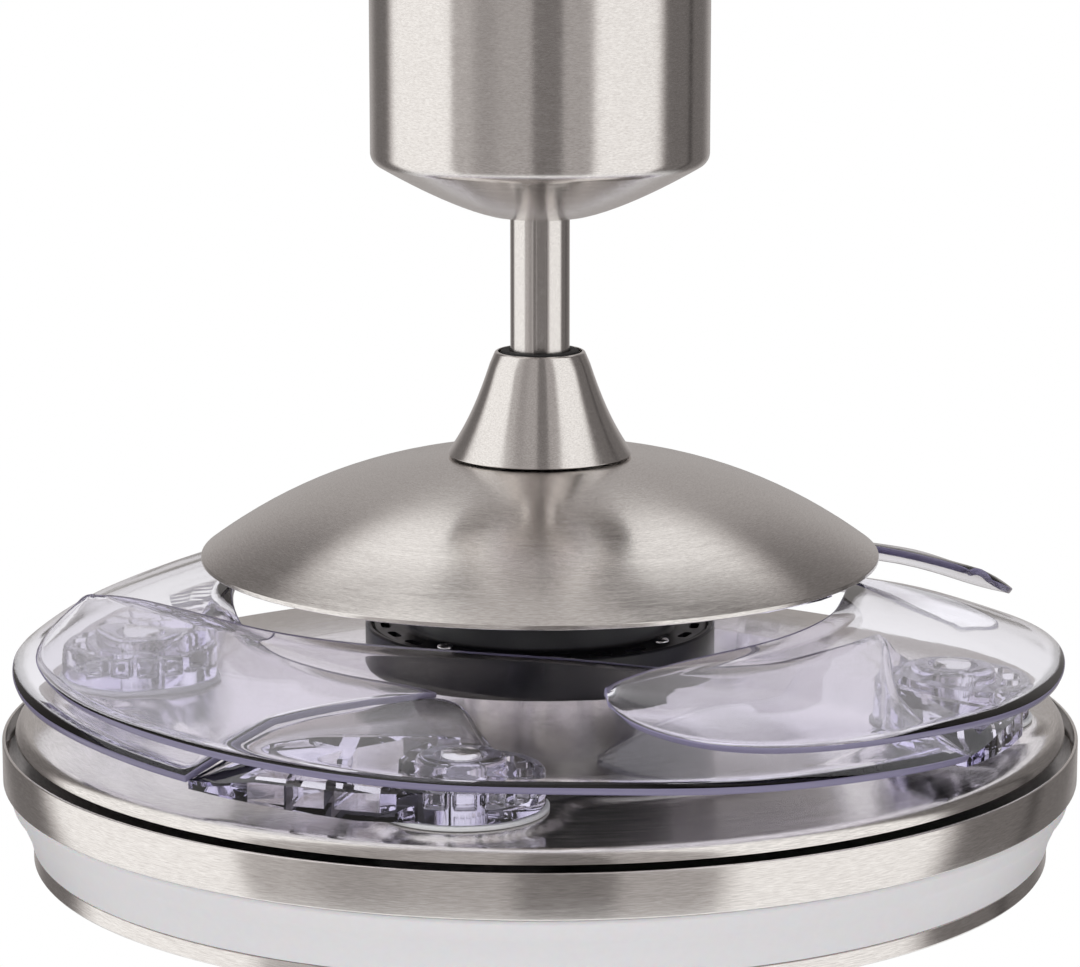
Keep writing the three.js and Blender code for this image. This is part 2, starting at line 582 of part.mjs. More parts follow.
function lightPlate() {
  const { z, thick } = LIGHT_PLATE;
  const radius = TRIM.r - TRIM.wall - GAP;
  const slots = Array.from({ length: 6 }, (_, i) =>
    box(36, 10, z - thick - 1, z + 1, [96, 0]).rotateZ(radians(60 * i + 30)));
  return cut(tube(radius, SHAFT.r + GAP, z - thick, z, FINE), ...slots);
}
const plateLow = LIGHT_PLATE.z - LIGHT_PLATE.thick;
add('light_plate', lightPlate(), steel);
add('shaft_nut', hexNut(16, SHAFT.r + GAP, plateLow - 8, plateLow - GAP), steel);
const underPlate = plateLow - GAP;
const driver = box(DRIVER.x, DRIVER.y, underPlate - DRIVER.tall, underPlate, [0, DRIVER.centreY]);
add('led_driver', driver, whitePlastic);
const board = tube(LED_BOARD.outer, LED_BOARD.inner, underPlate - LED_BOARD.thick, underPlate, FINE);
add('led_board', board, aluminium);

const trimInner = TRIM.r - TRIM.wall;
add('trim_ring', turned([
  [TRIM.r, TRIM.bottom], [TRIM.r, TRIM.top - 0.5], [TRIM.r - 0.5, TRIM.top], [trimInner, TRIM.top],
  [trimInner, TRIM.bottom + 1.5], [TRIM.r - 9, TRIM.bottom + 1.5], [TRIM.r - 9, TRIM.bottom],
]), nickel);

// The opal band steps in below the trim ring, then tapers to the lower ring.
const bandLine = [
  [BAND.topR - 0.6, BAND.top], [BAND.topR, BAND.top - 2], [BAND.topR - 2.4, BAND.top - 9],
  [BAND.topR - 5.6, BAND.top - 13.6], [BAND.bottomR + 1.4, BAND.bottom + 6], [BAND.bottomR, BAND.bottom],
];
add('side_diffuser', shell(bandLine, BAND.wall), opal);

const lowerTop = BAND.bottom - GAP;
const ledgeR = LOWER_RING.r - LOWER_RING.wall - 4;
add('lower_ring', turned([
  [ledgeR, LOWER_RING.bottom + 2], [LOWER_RING.r - 2, LOWER_RING.bottom],
  [LOWER_RING.r, LOWER_RING.bottom + 1],
  [LOWER_RING.r, lowerTop], [LOWER_RING.r - LOWER_RING.wall, lowerTop],
  [LOWER_RING.r - LOWER_RING.wall, LOWER_RING.bottom + 4.5], [ledgeR, LOWER_RING.bottom + 4.5],
]), nickel);

// An opal dish whose rim lies on the lower ring's ledge.
const rimZ = LOWER_RING.bottom + 4.5 + GAP;
const throatR = ledgeR - 3 * GAP;
const dish = [0.98, 0.84, 0.5].map((t) => [
  throatR * t, LOWER_RING.bottom - LENS.drop * (1 - t ** 2.4),
]);
const lensLine = [[ledgeR + 3, rimZ], [throatR, rimZ], ...dish, [0, LOWER_RING.bottom - LENS.drop]];
const lensInner = lensLine.filter((_, i) => i !== 2 && i !== 4)
  .map(([r, z]) => [r === throatR ? r - LENS.wall : r, z + LENS.wall]);
add('bottom_diffuser', turned([...lensLine.reverse(), ...lensInner]), opal);

export default fan;
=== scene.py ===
# %% [markdown]
# # A ceiling fan whose clear blades fold away
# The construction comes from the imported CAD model, which is a fixed frame here. This script gives
# every piece its surface. The round pieces are turned again with enough sides to look round, the
# blades get their thickness, ribs and polished edges, and each finish is a node material.

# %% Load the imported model
import json
import math

import bpy
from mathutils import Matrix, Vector


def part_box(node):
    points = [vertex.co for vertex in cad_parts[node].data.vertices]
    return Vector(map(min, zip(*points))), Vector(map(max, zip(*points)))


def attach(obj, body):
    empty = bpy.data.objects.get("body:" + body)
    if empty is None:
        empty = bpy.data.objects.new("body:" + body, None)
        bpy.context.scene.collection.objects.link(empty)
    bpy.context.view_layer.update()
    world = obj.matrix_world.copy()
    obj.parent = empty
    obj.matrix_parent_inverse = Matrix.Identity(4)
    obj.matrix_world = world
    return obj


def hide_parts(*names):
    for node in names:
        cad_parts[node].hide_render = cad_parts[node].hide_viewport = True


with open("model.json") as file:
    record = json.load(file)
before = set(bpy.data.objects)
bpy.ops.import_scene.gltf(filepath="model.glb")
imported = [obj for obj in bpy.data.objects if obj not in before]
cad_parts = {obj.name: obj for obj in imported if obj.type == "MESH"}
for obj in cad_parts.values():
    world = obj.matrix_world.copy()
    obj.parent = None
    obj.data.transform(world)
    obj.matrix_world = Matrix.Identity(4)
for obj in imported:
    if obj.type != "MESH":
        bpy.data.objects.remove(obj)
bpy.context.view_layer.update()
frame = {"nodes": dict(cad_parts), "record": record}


def select_none():
    bpy.ops.object.select_all(action="DESELECT")


select_none()
behaviour = frame["record"]["behaviour"]
BODY_OF = {node: body for body, nodes in behaviour["bodies"].items() for node in nodes}
SLOT_OF = {row["node"]: row["material_slot"] for row in frame["record"]["subparts"]}
MM = 0.001

# %% [markdown]
# ## Camera
# The photograph was taken about two metres away with a long lens, from a little above the blades and
# looking down at them. The top of the canopy and the bottom lens are outside its frame.

# %% Make the camera
CAMERA_PLACE = (0, -2.050, 0.1268)
CAMERA_PITCH = math.radians(11.192)
LENS_MM = 139.25
bpy.ops.object.camera_add(location=CAMERA_PLACE, rotation=(math.pi / 2 - CAMERA_PITCH, 0, 0))
camera = bpy.context.object
camera.data.lens = LENS_MM
camera.data.sensor_width = 36
bpy.context.scene.camera = camera
bpy.context.scene.view_settings.view_transform = "Standard"

# %% [markdown]
# ## Studio
# The photograph has a plain white background. Making the light stronger until the background is
# white would burn out the pale pieces, so the world is white only to look at and gives an even,
# gentler light. Four soft lamps add the shadows.


# %% Node helpers
def node_tools(tree):
    """Two short functions for building a node tree: one adds a node, one adds a maths node."""

    def add(kind, **values):
        node = tree.nodes.new(kind)
        for key, value in values.items():
            setattr(node, key, value)
        return node

    def fill(node, inputs):
        for slot, value in enumerate(inputs):
            if isinstance(value, bpy.types.NodeSocket):
                tree.links.new(value, node.inputs[slot])
            elif value is not None:
                node.inputs[slot].default_value = value
        return node.outputs[0]

    def maths(operation, *inputs, clamp=False):
        return fill(add("ShaderNodeMath", operation=operation, use_clamp=clamp), inputs)

    return add, fill, maths


def colour_range(tree, fac, low, high):
    """Mixes two colours by a value from 0 to 1 and returns the output socket."""
    mix = tree.nodes.new("ShaderNodeMix")
    mix.data_type = "RGBA"
    tree.links.new(fac, mix.inputs["Factor"])
    mix.inputs["A"].default_value = (*low, 1)
    mix.inputs["B"].default_value = (*high, 1)
    return mix.outputs["Result"]


def eased(add, fill, *inputs):
    """Spreads a value softly: inputs are the value, the range it comes from and the range it gets."""
    return fill(add("ShaderNodeMapRange", interpolation_type="SMOOTHSTEP"), inputs)


def object_xyz(tree, add):
    """The three object coordinates, each on its own socket."""
    split = add("ShaderNodeSeparateXYZ")
    tree.links.new(add("ShaderNodeTexCoord").outputs["Object"], split.inputs[0])
    return split.outputs


def looked_at(add, maths):
    """1 for what the camera sees directly, in a reflection or through the blades, and 0 for light."""
    path = add("ShaderNodeLightPath")
    seen = maths("MAXIMUM", path.outputs["Is Camera Ray"], path.outputs["Is Transmission Ray"])
    return maths("MAXIMUM", seen, path.outputs["Is Glossy Ray"])


# %% World
WHITE = (1, 1, 1, 1)
PLAIN_LEVEL = 0.46


def build_world():
    """White to look at, and a gentler even light."""
    world = bpy.data.worlds.new("studio")
    world.use_nodes = True
    tree = world.node_tree
    tree.nodes.clear()
    add, fill, maths = node_tools(tree)
    light = fill(add("ShaderNodeBackground"), [WHITE, PLAIN_LEVEL])
    plain = fill(add("ShaderNodeBackground"), [WHITE, 1.0])
    mix = fill(add("ShaderNodeMixShader"), [looked_at(add, maths), light, plain])
    tree.links.new(mix, add("ShaderNodeOutputWorld").inputs["Surface"])
    bpy.context.scene.world = world


build_world()
print("world: white to look at,", PLAIN_LEVEL, "as light")

# %% [markdown]
# ### Light tent
# Brushed metal shows its studio more than itself. Round the fan stands a tent with two tall white
# sides, a grey front with a black strip in it, and dark corners, and those become the upright
# stripes on every round piece. It could be many panels, but one ball whose brightness follows the
# bearing has no joints. Only reflections see it.

# %% Tent panels
# Each panel is (bearing from the camera's side towards the right, width, level, softness), in
# degrees, and lies over the ones before it. The last two stand behind the fan and above it, where
# the dome looks: they also have a lowest and a highest elevation.
TENT_BASE = 0.17
TENT_PANELS = [
    (180, 56, 0.42, 12), (-88, 62, 1.04, 7), (62, 54, 1.0, 6), (-13, 94, 0.43, 3), (-50, 16, 0.5, 7),
    (-36, 16, 0.36, 6), (5, 20, 0.2, 1.5), (27, 10, 0.42, 3), (121, 5, 0.07, 1.5),
    (-149, 34, 1.05, 8, 38, 64), (149, 34, 1.0, 8, 38, 64),
]
SOFT_FOOT, SOFT_TOP = 0.3, 0.1
OVERHEAD_FROM, OVERHEAD_LEVEL = 0.93, 0.57
GREY_CLOTH, WHITE_CLOTH = (1.0, 0.915, 0.888), (1.0, 0.985, 0.965)
TENT_R = 3.0


def tent_material():
    material = bpy.data.materials.new("tent_cloth")
    material.use_nodes = True
    material.cycles.emission_sampling = "NONE"
    tree = material.node_tree
    tree.nodes.clear()
    add, fill, maths = node_tools(tree)
    x, y, z = object_xyz(tree, add)
    bearing = maths("ARCTAN2", x, maths("MULTIPLY", y, -1.0))
    level = None
    for centre, width, strength, softness, *heights in TENT_PANELS:
        offset = maths("SUBTRACT", bearing, math.radians(centre))
        away = maths("ABSOLUTE", maths("WRAP", offset, math.pi, -math.pi))
        inside, outside = math.radians(width / 2 - softness), math.radians(width / 2 + softness)
        weight = eased(add, fill, away, outside, inside, 0.0, 1.0)
        if heights:
            low, high = (math.sin(math.radians(h)) * TENT_R for h in heights)
            rise = eased(add, fill, z, low - SOFT_FOOT, low + SOFT_FOOT, 0.0, 1.0)
            drop = eased(add, fill, z, high - SOFT_TOP, high + SOFT_TOP, 1.0, 0.0)
            weight = maths("MULTIPLY", maths("MULTIPLY", weight, rise), drop)
        below = TENT_BASE if level is None else level
        level = maths("ADD", below, maths("MULTIPLY", weight, maths("SUBTRACT", strength, below)))
    overhead = eased(add, fill, maths("DIVIDE", z, TENT_R), OVERHEAD_FROM, 1.0, 0.0, 1.0)
    level = maths("ADD", level, maths("MULTIPLY", overhead, maths("SUBTRACT", OVERHEAD_LEVEL, level)))
    tint = colour_range(tree, level, GREY_CLOTH, WHITE_CLOTH)
    cloth = fill(add("ShaderNodeEmission"), [tint, level])
    tree.links.new(cloth, add("ShaderNodeOutputMaterial").inputs["Surface"])
    return material


select_none()
bpy.ops.mesh.primitive_uv_sphere_add(segments=96, ring_count=48, radius=TENT_R)
tent = bpy.context.object
tent.name = "light_tent"
tent.data.materials.append(tent_material())
for seen_by in ("camera", "diffuse", "transmission", "volume_scatter", "shadow"):
    setattr(tent, "visible_" + seen_by, False)
print("tent panels:", len(TENT_PANELS))

# %% Lamps
LAMPS = {
    "lamp_left": ((-1.9, -1.2, 0.5), 11, 1.4),
    "lamp_right": ((1.7, -1.5, 0.6), 9, 1.2),
    "lamp_top": ((0.1, -0.2, 1.7), 9, 1.6),
    "lamp_low": ((0.0, -1.5, -0.75), 3.5, 0.8),
}
AIM = Vector((0, 0, -0.36))
for name, (place, watts, size) in LAMPS.items():
    turn = (AIM - Vector(place)).to_track_quat("-Z", "Y").to_euler()
    bpy.ops.object.light_add(type="AREA", location=place, rotation=turn)
    lamp = bpy.context.object
    lamp.name = name
    lamp.data.energy = watts
    lamp.data.size = size
    lamp.visible_camera = False
    lamp.visible_glossy = False
    lamp.visible_transmission = False
print("lamps:", ", ".join(LAMPS))

# %% [markdown]
# ## Finishes
# Every finish is a small node tree on object coordinates. The frame's coordinates are the objects'
# own, so a grain that runs round the Z axis runs round every turned piece.


# %% Material helpers
FINISH = {}


def new_material(name, **sockets):
    """A Principled material with its constant values on the shader's own sockets."""
    material = bpy.data.materials.new(name)
    FINISH[name] = material
    material.use_nodes = True
    tree = material.node_tree
    shader = tree.nodes["Principled BSDF"]
    for key, value in sockets.items():
        shader.inputs[key.replace("_", " ")].default_value = value
    return material, tree, shader


def feed(tree, shader, **sockets):
    """Links node outputs to the shader's sockets."""
    for key, value in sockets.items():
        tree.links.new(value, shader.inputs[key.replace("_", " ")])


def value_range(tree, fac, low, high):
    """Spreads a value from 0 to 1 between two limits and returns the output socket."""
    ramp = tree.nodes.new("ShaderNodeMapRange")
    tree.links.new(fac, ramp.inputs["Value"])
    ramp.inputs["To Min"].default_value = low
    ramp.inputs["To Max"].default_value = high
    return ramp.outputs["Result"]


def bump(tree, shader, height, strength, distance):
    node = tree.nodes.new("ShaderNodeBump")
    node.inputs["Strength"].default_value = strength
    node.inputs["Distance"].default_value = distance
    tree.links.new(height, node.inputs["Height"])
    feed(tree, shader, Normal=node.outputs["Normal"])


def noise(tree, scale, detail=2.0, roughness=0.5):
    """Plain noise on object coordinates, in features per metre."""
    node = tree.nodes.new("ShaderNodeTexNoise")
    node.inputs["Scale"].default_value = scale
    node.inputs["Detail"].default_value = detail
    node.inputs["Roughness"].default_value = roughness
    place = tree.nodes.new("ShaderNodeTexCoord")
    tree.links.new(place.outputs["Object"], node.inputs["Vector"])
    return node.outputs["Fac"]


# %% [markdown]
# ### Brushed metal
# A spun piece is brushed while it turns, so its scratches are long arcs round the axis. The grain
# is noise in four dimensions: two follow the direction from the axis, slowly, and the height and
# radius follow fast. That keeps it free of seams on walls, cones and flat tops alike.


# %% Grain round the axis
def turned_grain(tree, across, along, detail=3.0):
    """Noise that is long round the Z axis: across counts per metre, along per radian."""
    add, fill, maths = node_tools(tree)
    x, y, z = object_xyz(tree, add)
    radius = maths("SQRT", maths("ADD", maths("MULTIPLY", x, x), maths("MULTIPLY", y, y)))
    safe = maths("MAXIMUM", radius, 0.0001)
    place = fill(add("ShaderNodeCombineXYZ"), [
        maths("MULTIPLY", maths("DIVIDE", x, safe), along),
        maths("MULTIPLY", maths("DIVIDE", y, safe), along),
        maths("MULTIPLY", z, across),
    ])
    node = add("ShaderNodeTexNoise", noise_dimensions="4D")
    tree.links.new(place, node.inputs["Vector"])
    tree.links.new(maths("MULTIPLY", radius, across), node.inputs["W"])
    node.inputs["Scale"].default_value = 1.0
    node.inputs["Detail"].default_value = detail
    node.inputs["Roughness"].default_value = 0.6
    spread = add("ShaderNodeMapRange")
    return fill(spread, [node.outputs["Fac"], 0.3, 0.7, 0.0, 1.0])


SCRATCH_ALONG, HAZE_ALONG = 45.0, 6.0  # more makes shorter arcs
QUARTER_TURN = 0.25  # the shine is stretched across the scratches


def brushed_metal(name, low, high, roughness, grain=2600, depth=0.03, stretch=0.85):
    material, tree, shader = new_material(
        name, Metallic=1.0, Anisotropic=stretch, Anisotropic_Rotation=QUARTER_TURN)
    tangent = tree.nodes.new("ShaderNodeTangent")
    tangent.direction_type = "RADIAL"
    tangent.axis = "Z"
    scratches = turned_grain(tree, grain, SCRATCH_ALONG)
    tint = colour_range(tree, scratches, low, high)
    haze = turned_grain(tree, grain / 5, HAZE_ALONG, 2.0)
    spread = value_range(tree, haze, roughness - 0.04, roughness + 0.04)
    feed(tree, shader, Tangent=tangent.outputs[0], Base_Color=tint, Roughness=spread)
    bump(tree, shader, scratches, depth, 0.0002)
    return material


brushed_metal("brushed_nickel", (0.66, 0.63, 0.612), (0.91, 0.885, 0.865), 0.19)
neck_nickel = brushed_metal("polished_nickel", (0.70, 0.67, 0.65), (0.86, 0.83, 0.81), 0.13, 3200, 0.02)
brushed_metal("plain_steel", (0.46, 0.46, 0.47), (0.66, 0.66, 0.67), 0.34, 1200, 0.05, 0.3)

# %% [markdown]
# ### Cast, moulded and polished finishes
# The motor's drum is black with a faint orange-peel skin. Screws are chromed. The band and lens
# are opal plastic that lets a little light in.


# %% Solid finishes
def speckled(name, low, high, roughness, scale, depth, **sockets):
    """A finish with an even, fine texture: paint, rubber, moulded plastic or plain metal."""
    material, tree, shader = new_material(name, **sockets)
    grains = noise(tree, scale, 4.0)
    spread = value_range(tree, noise(tree, scale / 9, 3.0), roughness - 0.05, roughness + 0.07)
    feed(tree, shader, Base_Color=colour_range(tree, grains, low, high), Roughness=spread)
    bump(tree, shader, grains, depth, 0.0003)
    return material


speckled("black_metal", (0.010, 0.010, 0.013), (0.024, 0.024, 0.029), 0.30, 1400, 0.06)
speckled("black_rubber", (0.008, 0.008, 0.009), (0.018, 0.018, 0.02), 0.62, 2200, 0.2)
chrome = speckled("chrome", (0.80, 0.80, 0.81), (0.88, 0.88, 0.89), 0.08, 900, 0.02, Metallic=1.0)
speckled("magnet_iron", (0.10, 0.10, 0.11), (0.18, 0.18, 0.19), 0.5, 700, 0.15, Metallic=0.8)
speckled("aluminium", (0.66, 0.67, 0.68), (0.78, 0.79, 0.80), 0.42, 600, 0.08, Metallic=1.0)
speckled("white_plastic", (0.80, 0.80, 0.82), (0.87, 0.87, 0.88), 0.42, 1500, 0.06)
speckled(
    "opal_plastic", (0.84, 0.795, 0.815), (0.88, 0.835, 0.855), 0.36, 260, 0.02,
    Subsurface_Weight=0.25, Subsurface_Scale=0.006)


# %% Copper winding
def copper_winding():
    """Enamelled wire: close turns that run round the shaft."""
    material, tree, shader = new_material("copper_wire", Metallic=1.0, Coat_Weight=0.6)
    wave = tree.nodes.new("ShaderNodeTexWave")
    wave.wave_type = "RINGS"
    wave.rings_direction = "Z"
    wave.inputs["Scale"].default_value = 320
    place = tree.nodes.new("ShaderNodeTexCoord")
    tree.links.new(place.outputs["Object"], wave.inputs["Vector"])
    turns = wave.outputs["Fac"]
    wire = colour_range(tree, turns, (0.30, 0.10, 0.03), (0.72, 0.33, 0.14))
    feed(tree, shader, Base_Color=wire, Roughness=value_range(tree, turns, 0.45, 0.25))
    bump(tree, shader, turns, 0.5, 0.0004)
    return material


copper_winding()

# %% [markdown]
# ### Clear blade plastic
# The sheet is almost colourless through its thickness, and violet at its edges, where the light has
# come a long way inside it. Absorption inside the solid gives the first. The second is painted: the
# narrow edge faces carry a mark, the attribute "rim", and a violet-grey colour painted on them stands
# in for that long path of light. They also pass less light straight through, so that the painted
# colour shows.

# %% Clear plastic
RIM_MARK = "rim"


def clear_plastic():
    material, tree, shader = new_material("clear_plastic", IOR=1.49)
    mark = tree.nodes.new("ShaderNodeAttribute")
    mark.attribute_name = RIM_MARK
    # Painted light on the edges: the marked faces get a violet-grey colour and pass less light, standing in
    # for light that has come a long way inside the sheet.
    tint = colour_range(tree, mark.outputs["Fac"], (0.975, 0.965, 1.0), (0.33, 0.30, 0.47))
    clear = value_range(tree, mark.outputs["Fac"], 1.0, 0.3)
    haze = value_range(tree, noise(tree, 90, 3.0), 0.0, 0.035)
    feed(tree, shader, Base_Color=tint, Transmission_Weight=clear, Roughness=haze)
    bump(tree, shader, noise(tree, 14, 1.0), 0.12, 0.004)
    inside = tree.nodes.new("ShaderNodeVolumeAbsorption")
    inside.inputs["Color"].default_value = (0.56, 0.50, 0.84, 1)
    inside.inputs["Density"].default_value = 8
    tree.links.new(inside.outputs[0], tree.nodes["Material Output"].inputs["Volume"])
    return material


clear_blade = clear_plastic()
FINISH["clear_blade"] = clear_blade
for node, item in frame["nodes"].items():
    item.data.materials.clear()
    item.data.materials.append(FINISH[SLOT_OF[node]])
print("finishes:", ", ".join(FINISH))

# %% [markdown]
# ## Turning a piece
# A lathe piece could be a spun outline, but a spin leaves a seam to merge. Here it starts as a
# circle, as by hand: extrude the ring, move it, scale it, and so on along the outline. The wall then
# comes from Solidify and the small edge rounding from Bevel.

# %% Turning helpers
SIDES = 128
EDGE_ANGLE = math.radians(32)
TINY = 1e-7  # the radius at a pole, small enough to be merged to a point


def take(piece):
    """Makes one object the only selected and active one."""
    select_none()
    piece.select_set(True)
    bpy.context.view_layer.objects.active = piece


def settle(piece):
    """Moves the object's place into its mesh and shades it smooth up to sharp edges."""
    take(piece)
    bpy.ops.object.transform_apply(location=True, rotation=True, scale=True)
    bpy.ops.object.shade_smooth_by_angle(angle=EDGE_ANGLE)
    return piece


def use(piece, kind, **values):
    """Adds a modifier and applies it."""
    take(piece)
    modifier = piece.modifiers.new(kind.title(), kind)
    for key, value in values.items():
        setattr(modifier, key, value)
    bpy.ops.object.modifier_apply(modifier=modifier.name)


def cut_out(piece, cutter, solver="MANIFOLD"):
    use(piece, "BOOLEAN", operation="DIFFERENCE", object=cutter, solver=solver)
    bpy.data.objects.remove(cutter)


def join_on(piece, other, solver="MANIFOLD"):
    use(piece, "BOOLEAN", operation="UNION", object=other, solver=solver)
    bpy.data.objects.remove(other)


def open_mesh(piece):
    """Goes into edit mode with all of the piece selected."""
    take(piece)
    bpy.ops.object.mode_set(mode="EDIT")
    bpy.ops.mesh.select_all(action="SELECT")


def close_mesh():
    bpy.ops.object.mode_set(mode="OBJECT")


def face_outwards(piece):
    """Turns every face of the piece to look outwards."""
    open_mesh(piece)
    bpy.ops.mesh.normals_make_consistent(inside=False)
    close_mesh()


def block(size, place, turned_by):
    """A block for cutting with, turned about Z."""
    select_none()
    bpy.ops.mesh.primitive_cube_add(size=1)
    piece = bpy.context.object
    piece.scale = size
    piece.location = place
    piece.rotation_euler.z = turned_by
    return settle(piece)


def turn(name, outline, sides=SIDES, loop=False):
    """A piece turned about Z from [radius, height] points. A radius of 0 closes at the axis."""
    outline = [(max(r, TINY), z) for r, z in outline]
    outline = [*outline, outline[0]] if loop else outline
    select_none()
    radius, height = outline[0]
    bpy.ops.mesh.primitive_circle_add(vertices=sides, radius=radius, location=(0, 0, height))
    piece = bpy.context.object
    piece.name = name
    open_mesh(piece)
    for (r0, z0), (r1, z1) in zip(outline, outline[1:]):
        bpy.ops.mesh.extrude_edges_move(TRANSFORM_OT_translate={"value": (0, 0, z1 - z0)})
        bpy.ops.transform.resize(value=(r1 / r0, r1 / r0, 1), center_override=(0, 0, z1))
    bpy.ops.mesh.select_all(action="SELECT")
    bpy.ops.mesh.remove_doubles(threshold=10 * TINY)
    bpy.ops.mesh.normals_make_consistent(inside=False)
    close_mesh()
    return settle(piece)


def cross_hole(piece, radius, height, along="y", middle=0.0, length=60 * MM):
    """Drills a hole through the piece, level and along X or Y."""
    select_none()
    bpy.ops.mesh.primitive_cylinder_add(vertices=24, radius=radius, depth=length)
    drill = bpy.context.object
    if along == "x":
        drill.rotation_euler.y = math.pi / 2
        drill.location = (middle, 0, height)
    else:
        drill.rotation_euler.x = math.pi / 2
        drill.location = (0, middle, height)
    cut_out(piece, settle(drill))


def wall(piece, thickness, side=-1):
    """Gives a single skin its wall. side -1 puts it behind the seen face, 0 on both sides."""
    use(piece, "SOLIDIFY", thickness=thickness, offset=side, use_even_offset=True)
    return settle(piece)


def soften(piece, width, segments=2):
    """Rounds the sharp edges a little, so that they catch the light."""
    use(piece, "BEVEL", width=width, segments=segments, limit_method="ANGLE", angle_limit=EDGE_ANGLE,
        use_clamp_overlap=True)
    return settle(piece)


def stand_for(piece, node, material=None):
    """The piece takes over from a CAD node: its body and, unless a finish is given, its slot's finish."""
    piece.data.materials.clear()
    piece.data.materials.append(material or FINISH[SLOT_OF[node]])
    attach(piece, BODY_OF[node])
    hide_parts(node)
    return piece


def arc(centre, radius, start, end, steps):
    """Points on an arc in the [radius, height] plane. Angles are in degrees."""
    angles = [math.radians(start + (end - start) * i / steps) for i in range(steps + 1)]
    return [(centre[0] + radius * math.cos(a), centre[1] + radius * math.sin(a)) for a in angles]


def on_circle(radius, bearing, height=0.0):
    """A point at a bearing that is counted from the front towards the right."""
    return Vector((radius * math.sin(bearing), -radius * math.cos(bearing), height))


def size_of(node):
    """Outer radius, lowest and highest height of a CAD node that is centred on the axis."""
    low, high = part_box(node)
    return high.x, low.z, high.z


# %% [markdown]
# ## Canopy
# The canopy is a deep cup of thin steel. Its wall runs straight, turns in over a small radius and
# then tapers to the hole for the rod. The taper is what reflects the rod as a flared neck.

# %% Canopy
canopy_r, canopy_low, canopy_top = size_of("canopy")
CANOPY_HOLE = 20.5 * MM
CANOPY_STRAIGHT = -112 * MM
CORNER_R = 7 * MM
THIN_WALL = 1.2 * MM
corner = arc((canopy_r - CORNER_R, CANOPY_STRAIGHT), CORNER_R, 0, -62, 8)
edge = corner[-1]
taper = [
    (edge[0] + (CANOPY_HOLE - edge[0]) * t, edge[1] + (canopy_low - edge[1]) * (1 - (1 - t) ** 1.35))
    for t in [i / 12 for i in range(1, 13)]
]
canopy = turn("canopy_spun", [(canopy_r, canopy_top), *corner, *taper])
wall(canopy, THIN_WALL)
soften(canopy, 0.4 * MM)
stand_for(canopy, "canopy")
print("canopy", round(canopy_r / MM, 1), "mm in radius")

# %% [markdown]
# ## Screws
# The pan-head screws are modelled once each: a domed head on a shank, and a cross cut in by a
# Boolean. They are chromed.


# %% Screw
def cross_screw(name, head_r, head_h, shank_r, shank_length):
    """A screw with its head's underside at the origin, its shank along -Z and a cross recess."""
    rise = arc((0, -head_h * 0.1), 1, 90, 12, 7)
    head = [(head_r * r, head_h * 0.25 + head_h * 0.75 * max(z, 0)) for r, z in rise[1:]]
    outline = [(0, head_h), *head, (head_r, 0.1 * head_h), (head_r * 0.96, 0), (shank_r, 0)]
    outline += [(shank_r, -shank_length * 0.9), (shank_r * 0.6, -shank_length), (0, -shank_length)]
    piece = turn(name, outline, 32)
    slot = (head_r * 1.1, head_r * 0.2, head_h * 0.9)
    for quarter in (0, 1):
        cut_out(piece, block(slot, (0, 0, head_h), quarter * math.pi / 2), "EXACT")
    return settle(piece)


def place_copy(source, name, place, turn_by=(0, 0, 0)):
    """A copy with its own mesh, placed and then settled so that its place is in the mesh."""
    piece = source.copy()
    piece.data = source.data.copy()
    piece.name = name
    bpy.context.collection.objects.link(piece)
    piece.location = place
    piece.rotation_euler = turn_by
    return settle(piece)


canopy_screw = cross_screw("canopy_screw", 5 * MM, 2.4 * MM, 2.2 * MM, 10 * MM)
for side, sign in (("left", -1), ("right", 1)):
    low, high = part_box(f"canopy_screw_{side}")
    middle = (low + high) / 2
    place = (sign * (canopy_r + 0.3 * MM), middle.y, middle.z)
    copy = place_copy(canopy_screw, f"canopy_cross_screw_{side}", place, (0, sign * math.pi / 2, 0))
    stand_for(copy, f"canopy_screw_{side}")
bpy.data.objects.remove(canopy_screw)

# %% [markdown]
# ## Downrod, cone cover and gasket
# The rod is a plain brushed tube. A flared cone hides the yoke at its lower end, and a black rubber
# ring in the cone's mouth grips the rod.

# %% Downrod
rod_r, rod_low, rod_top = size_of("downrod")
ROD_BORE = 12.25 * MM
rod = turn("downrod_tube", [
    (ROD_BORE, rod_low), (rod_r, rod_low), (rod_r, rod_top), (ROD_BORE, rod_top)], 64, loop=True)
BALL_Z, YOKE_PIN_Z, PIN_HOLE_R = -40 * MM, rod_low + 12 * MM, 3.3 * MM
for height in (BALL_Z, YOKE_PIN_Z):
    cross_hole(rod, PIN_HOLE_R, height)
soften(rod, 0.5 * MM)
stand_for(rod, "downrod")

# %% Cone cover
cone_r, cone_low, cone_top = size_of("yoke_cover")
CONE_MOUTH = 20.9 * MM
CONE_SHOULDER = 2 * MM


def cone_radius(t):
    """The flare: nearly straight, then opening out towards the bottom."""
    return CONE_MOUTH + CONE_SHOULDER + (cone_r - CONE_MOUTH - CONE_SHOULDER) * (0.72 * t + 0.28 * t**3)


flare = [(cone_radius(t), cone_top + (cone_low - cone_top) * t) for t in [1 - i / 16 for i in range(16)]]
lip = arc((CONE_MOUTH + 0.3 * MM, cone_top - 1.6 * MM), 1.6 * MM, 25, 90, 4)
cone = turn("cone_cover", [*flare[:-1], *lip, (CONE_MOUTH, cone_top)])
wall(cone, THIN_WALL)
soften(cone, 0.3 * MM)
stand_for(cone, "yoke_cover")

# %% Gasket
gasket_r, gasket_low, gasket_top = size_of("cover_gasket")
gasket = turn("cover_gasket_ring", [
    (rod_r + 0.3 * MM, gasket_low), (gasket_r, gasket_low), (gasket_r, gasket_top - MM),
    *arc((gasket_r - MM, gasket_top - MM), MM, 0, 90, 4),
    *arc((rod_r + 1.3 * MM, gasket_top - MM), MM, 90, 180, 4),
], 96, loop=True)
stand_for(gasket, "cover_gasket")

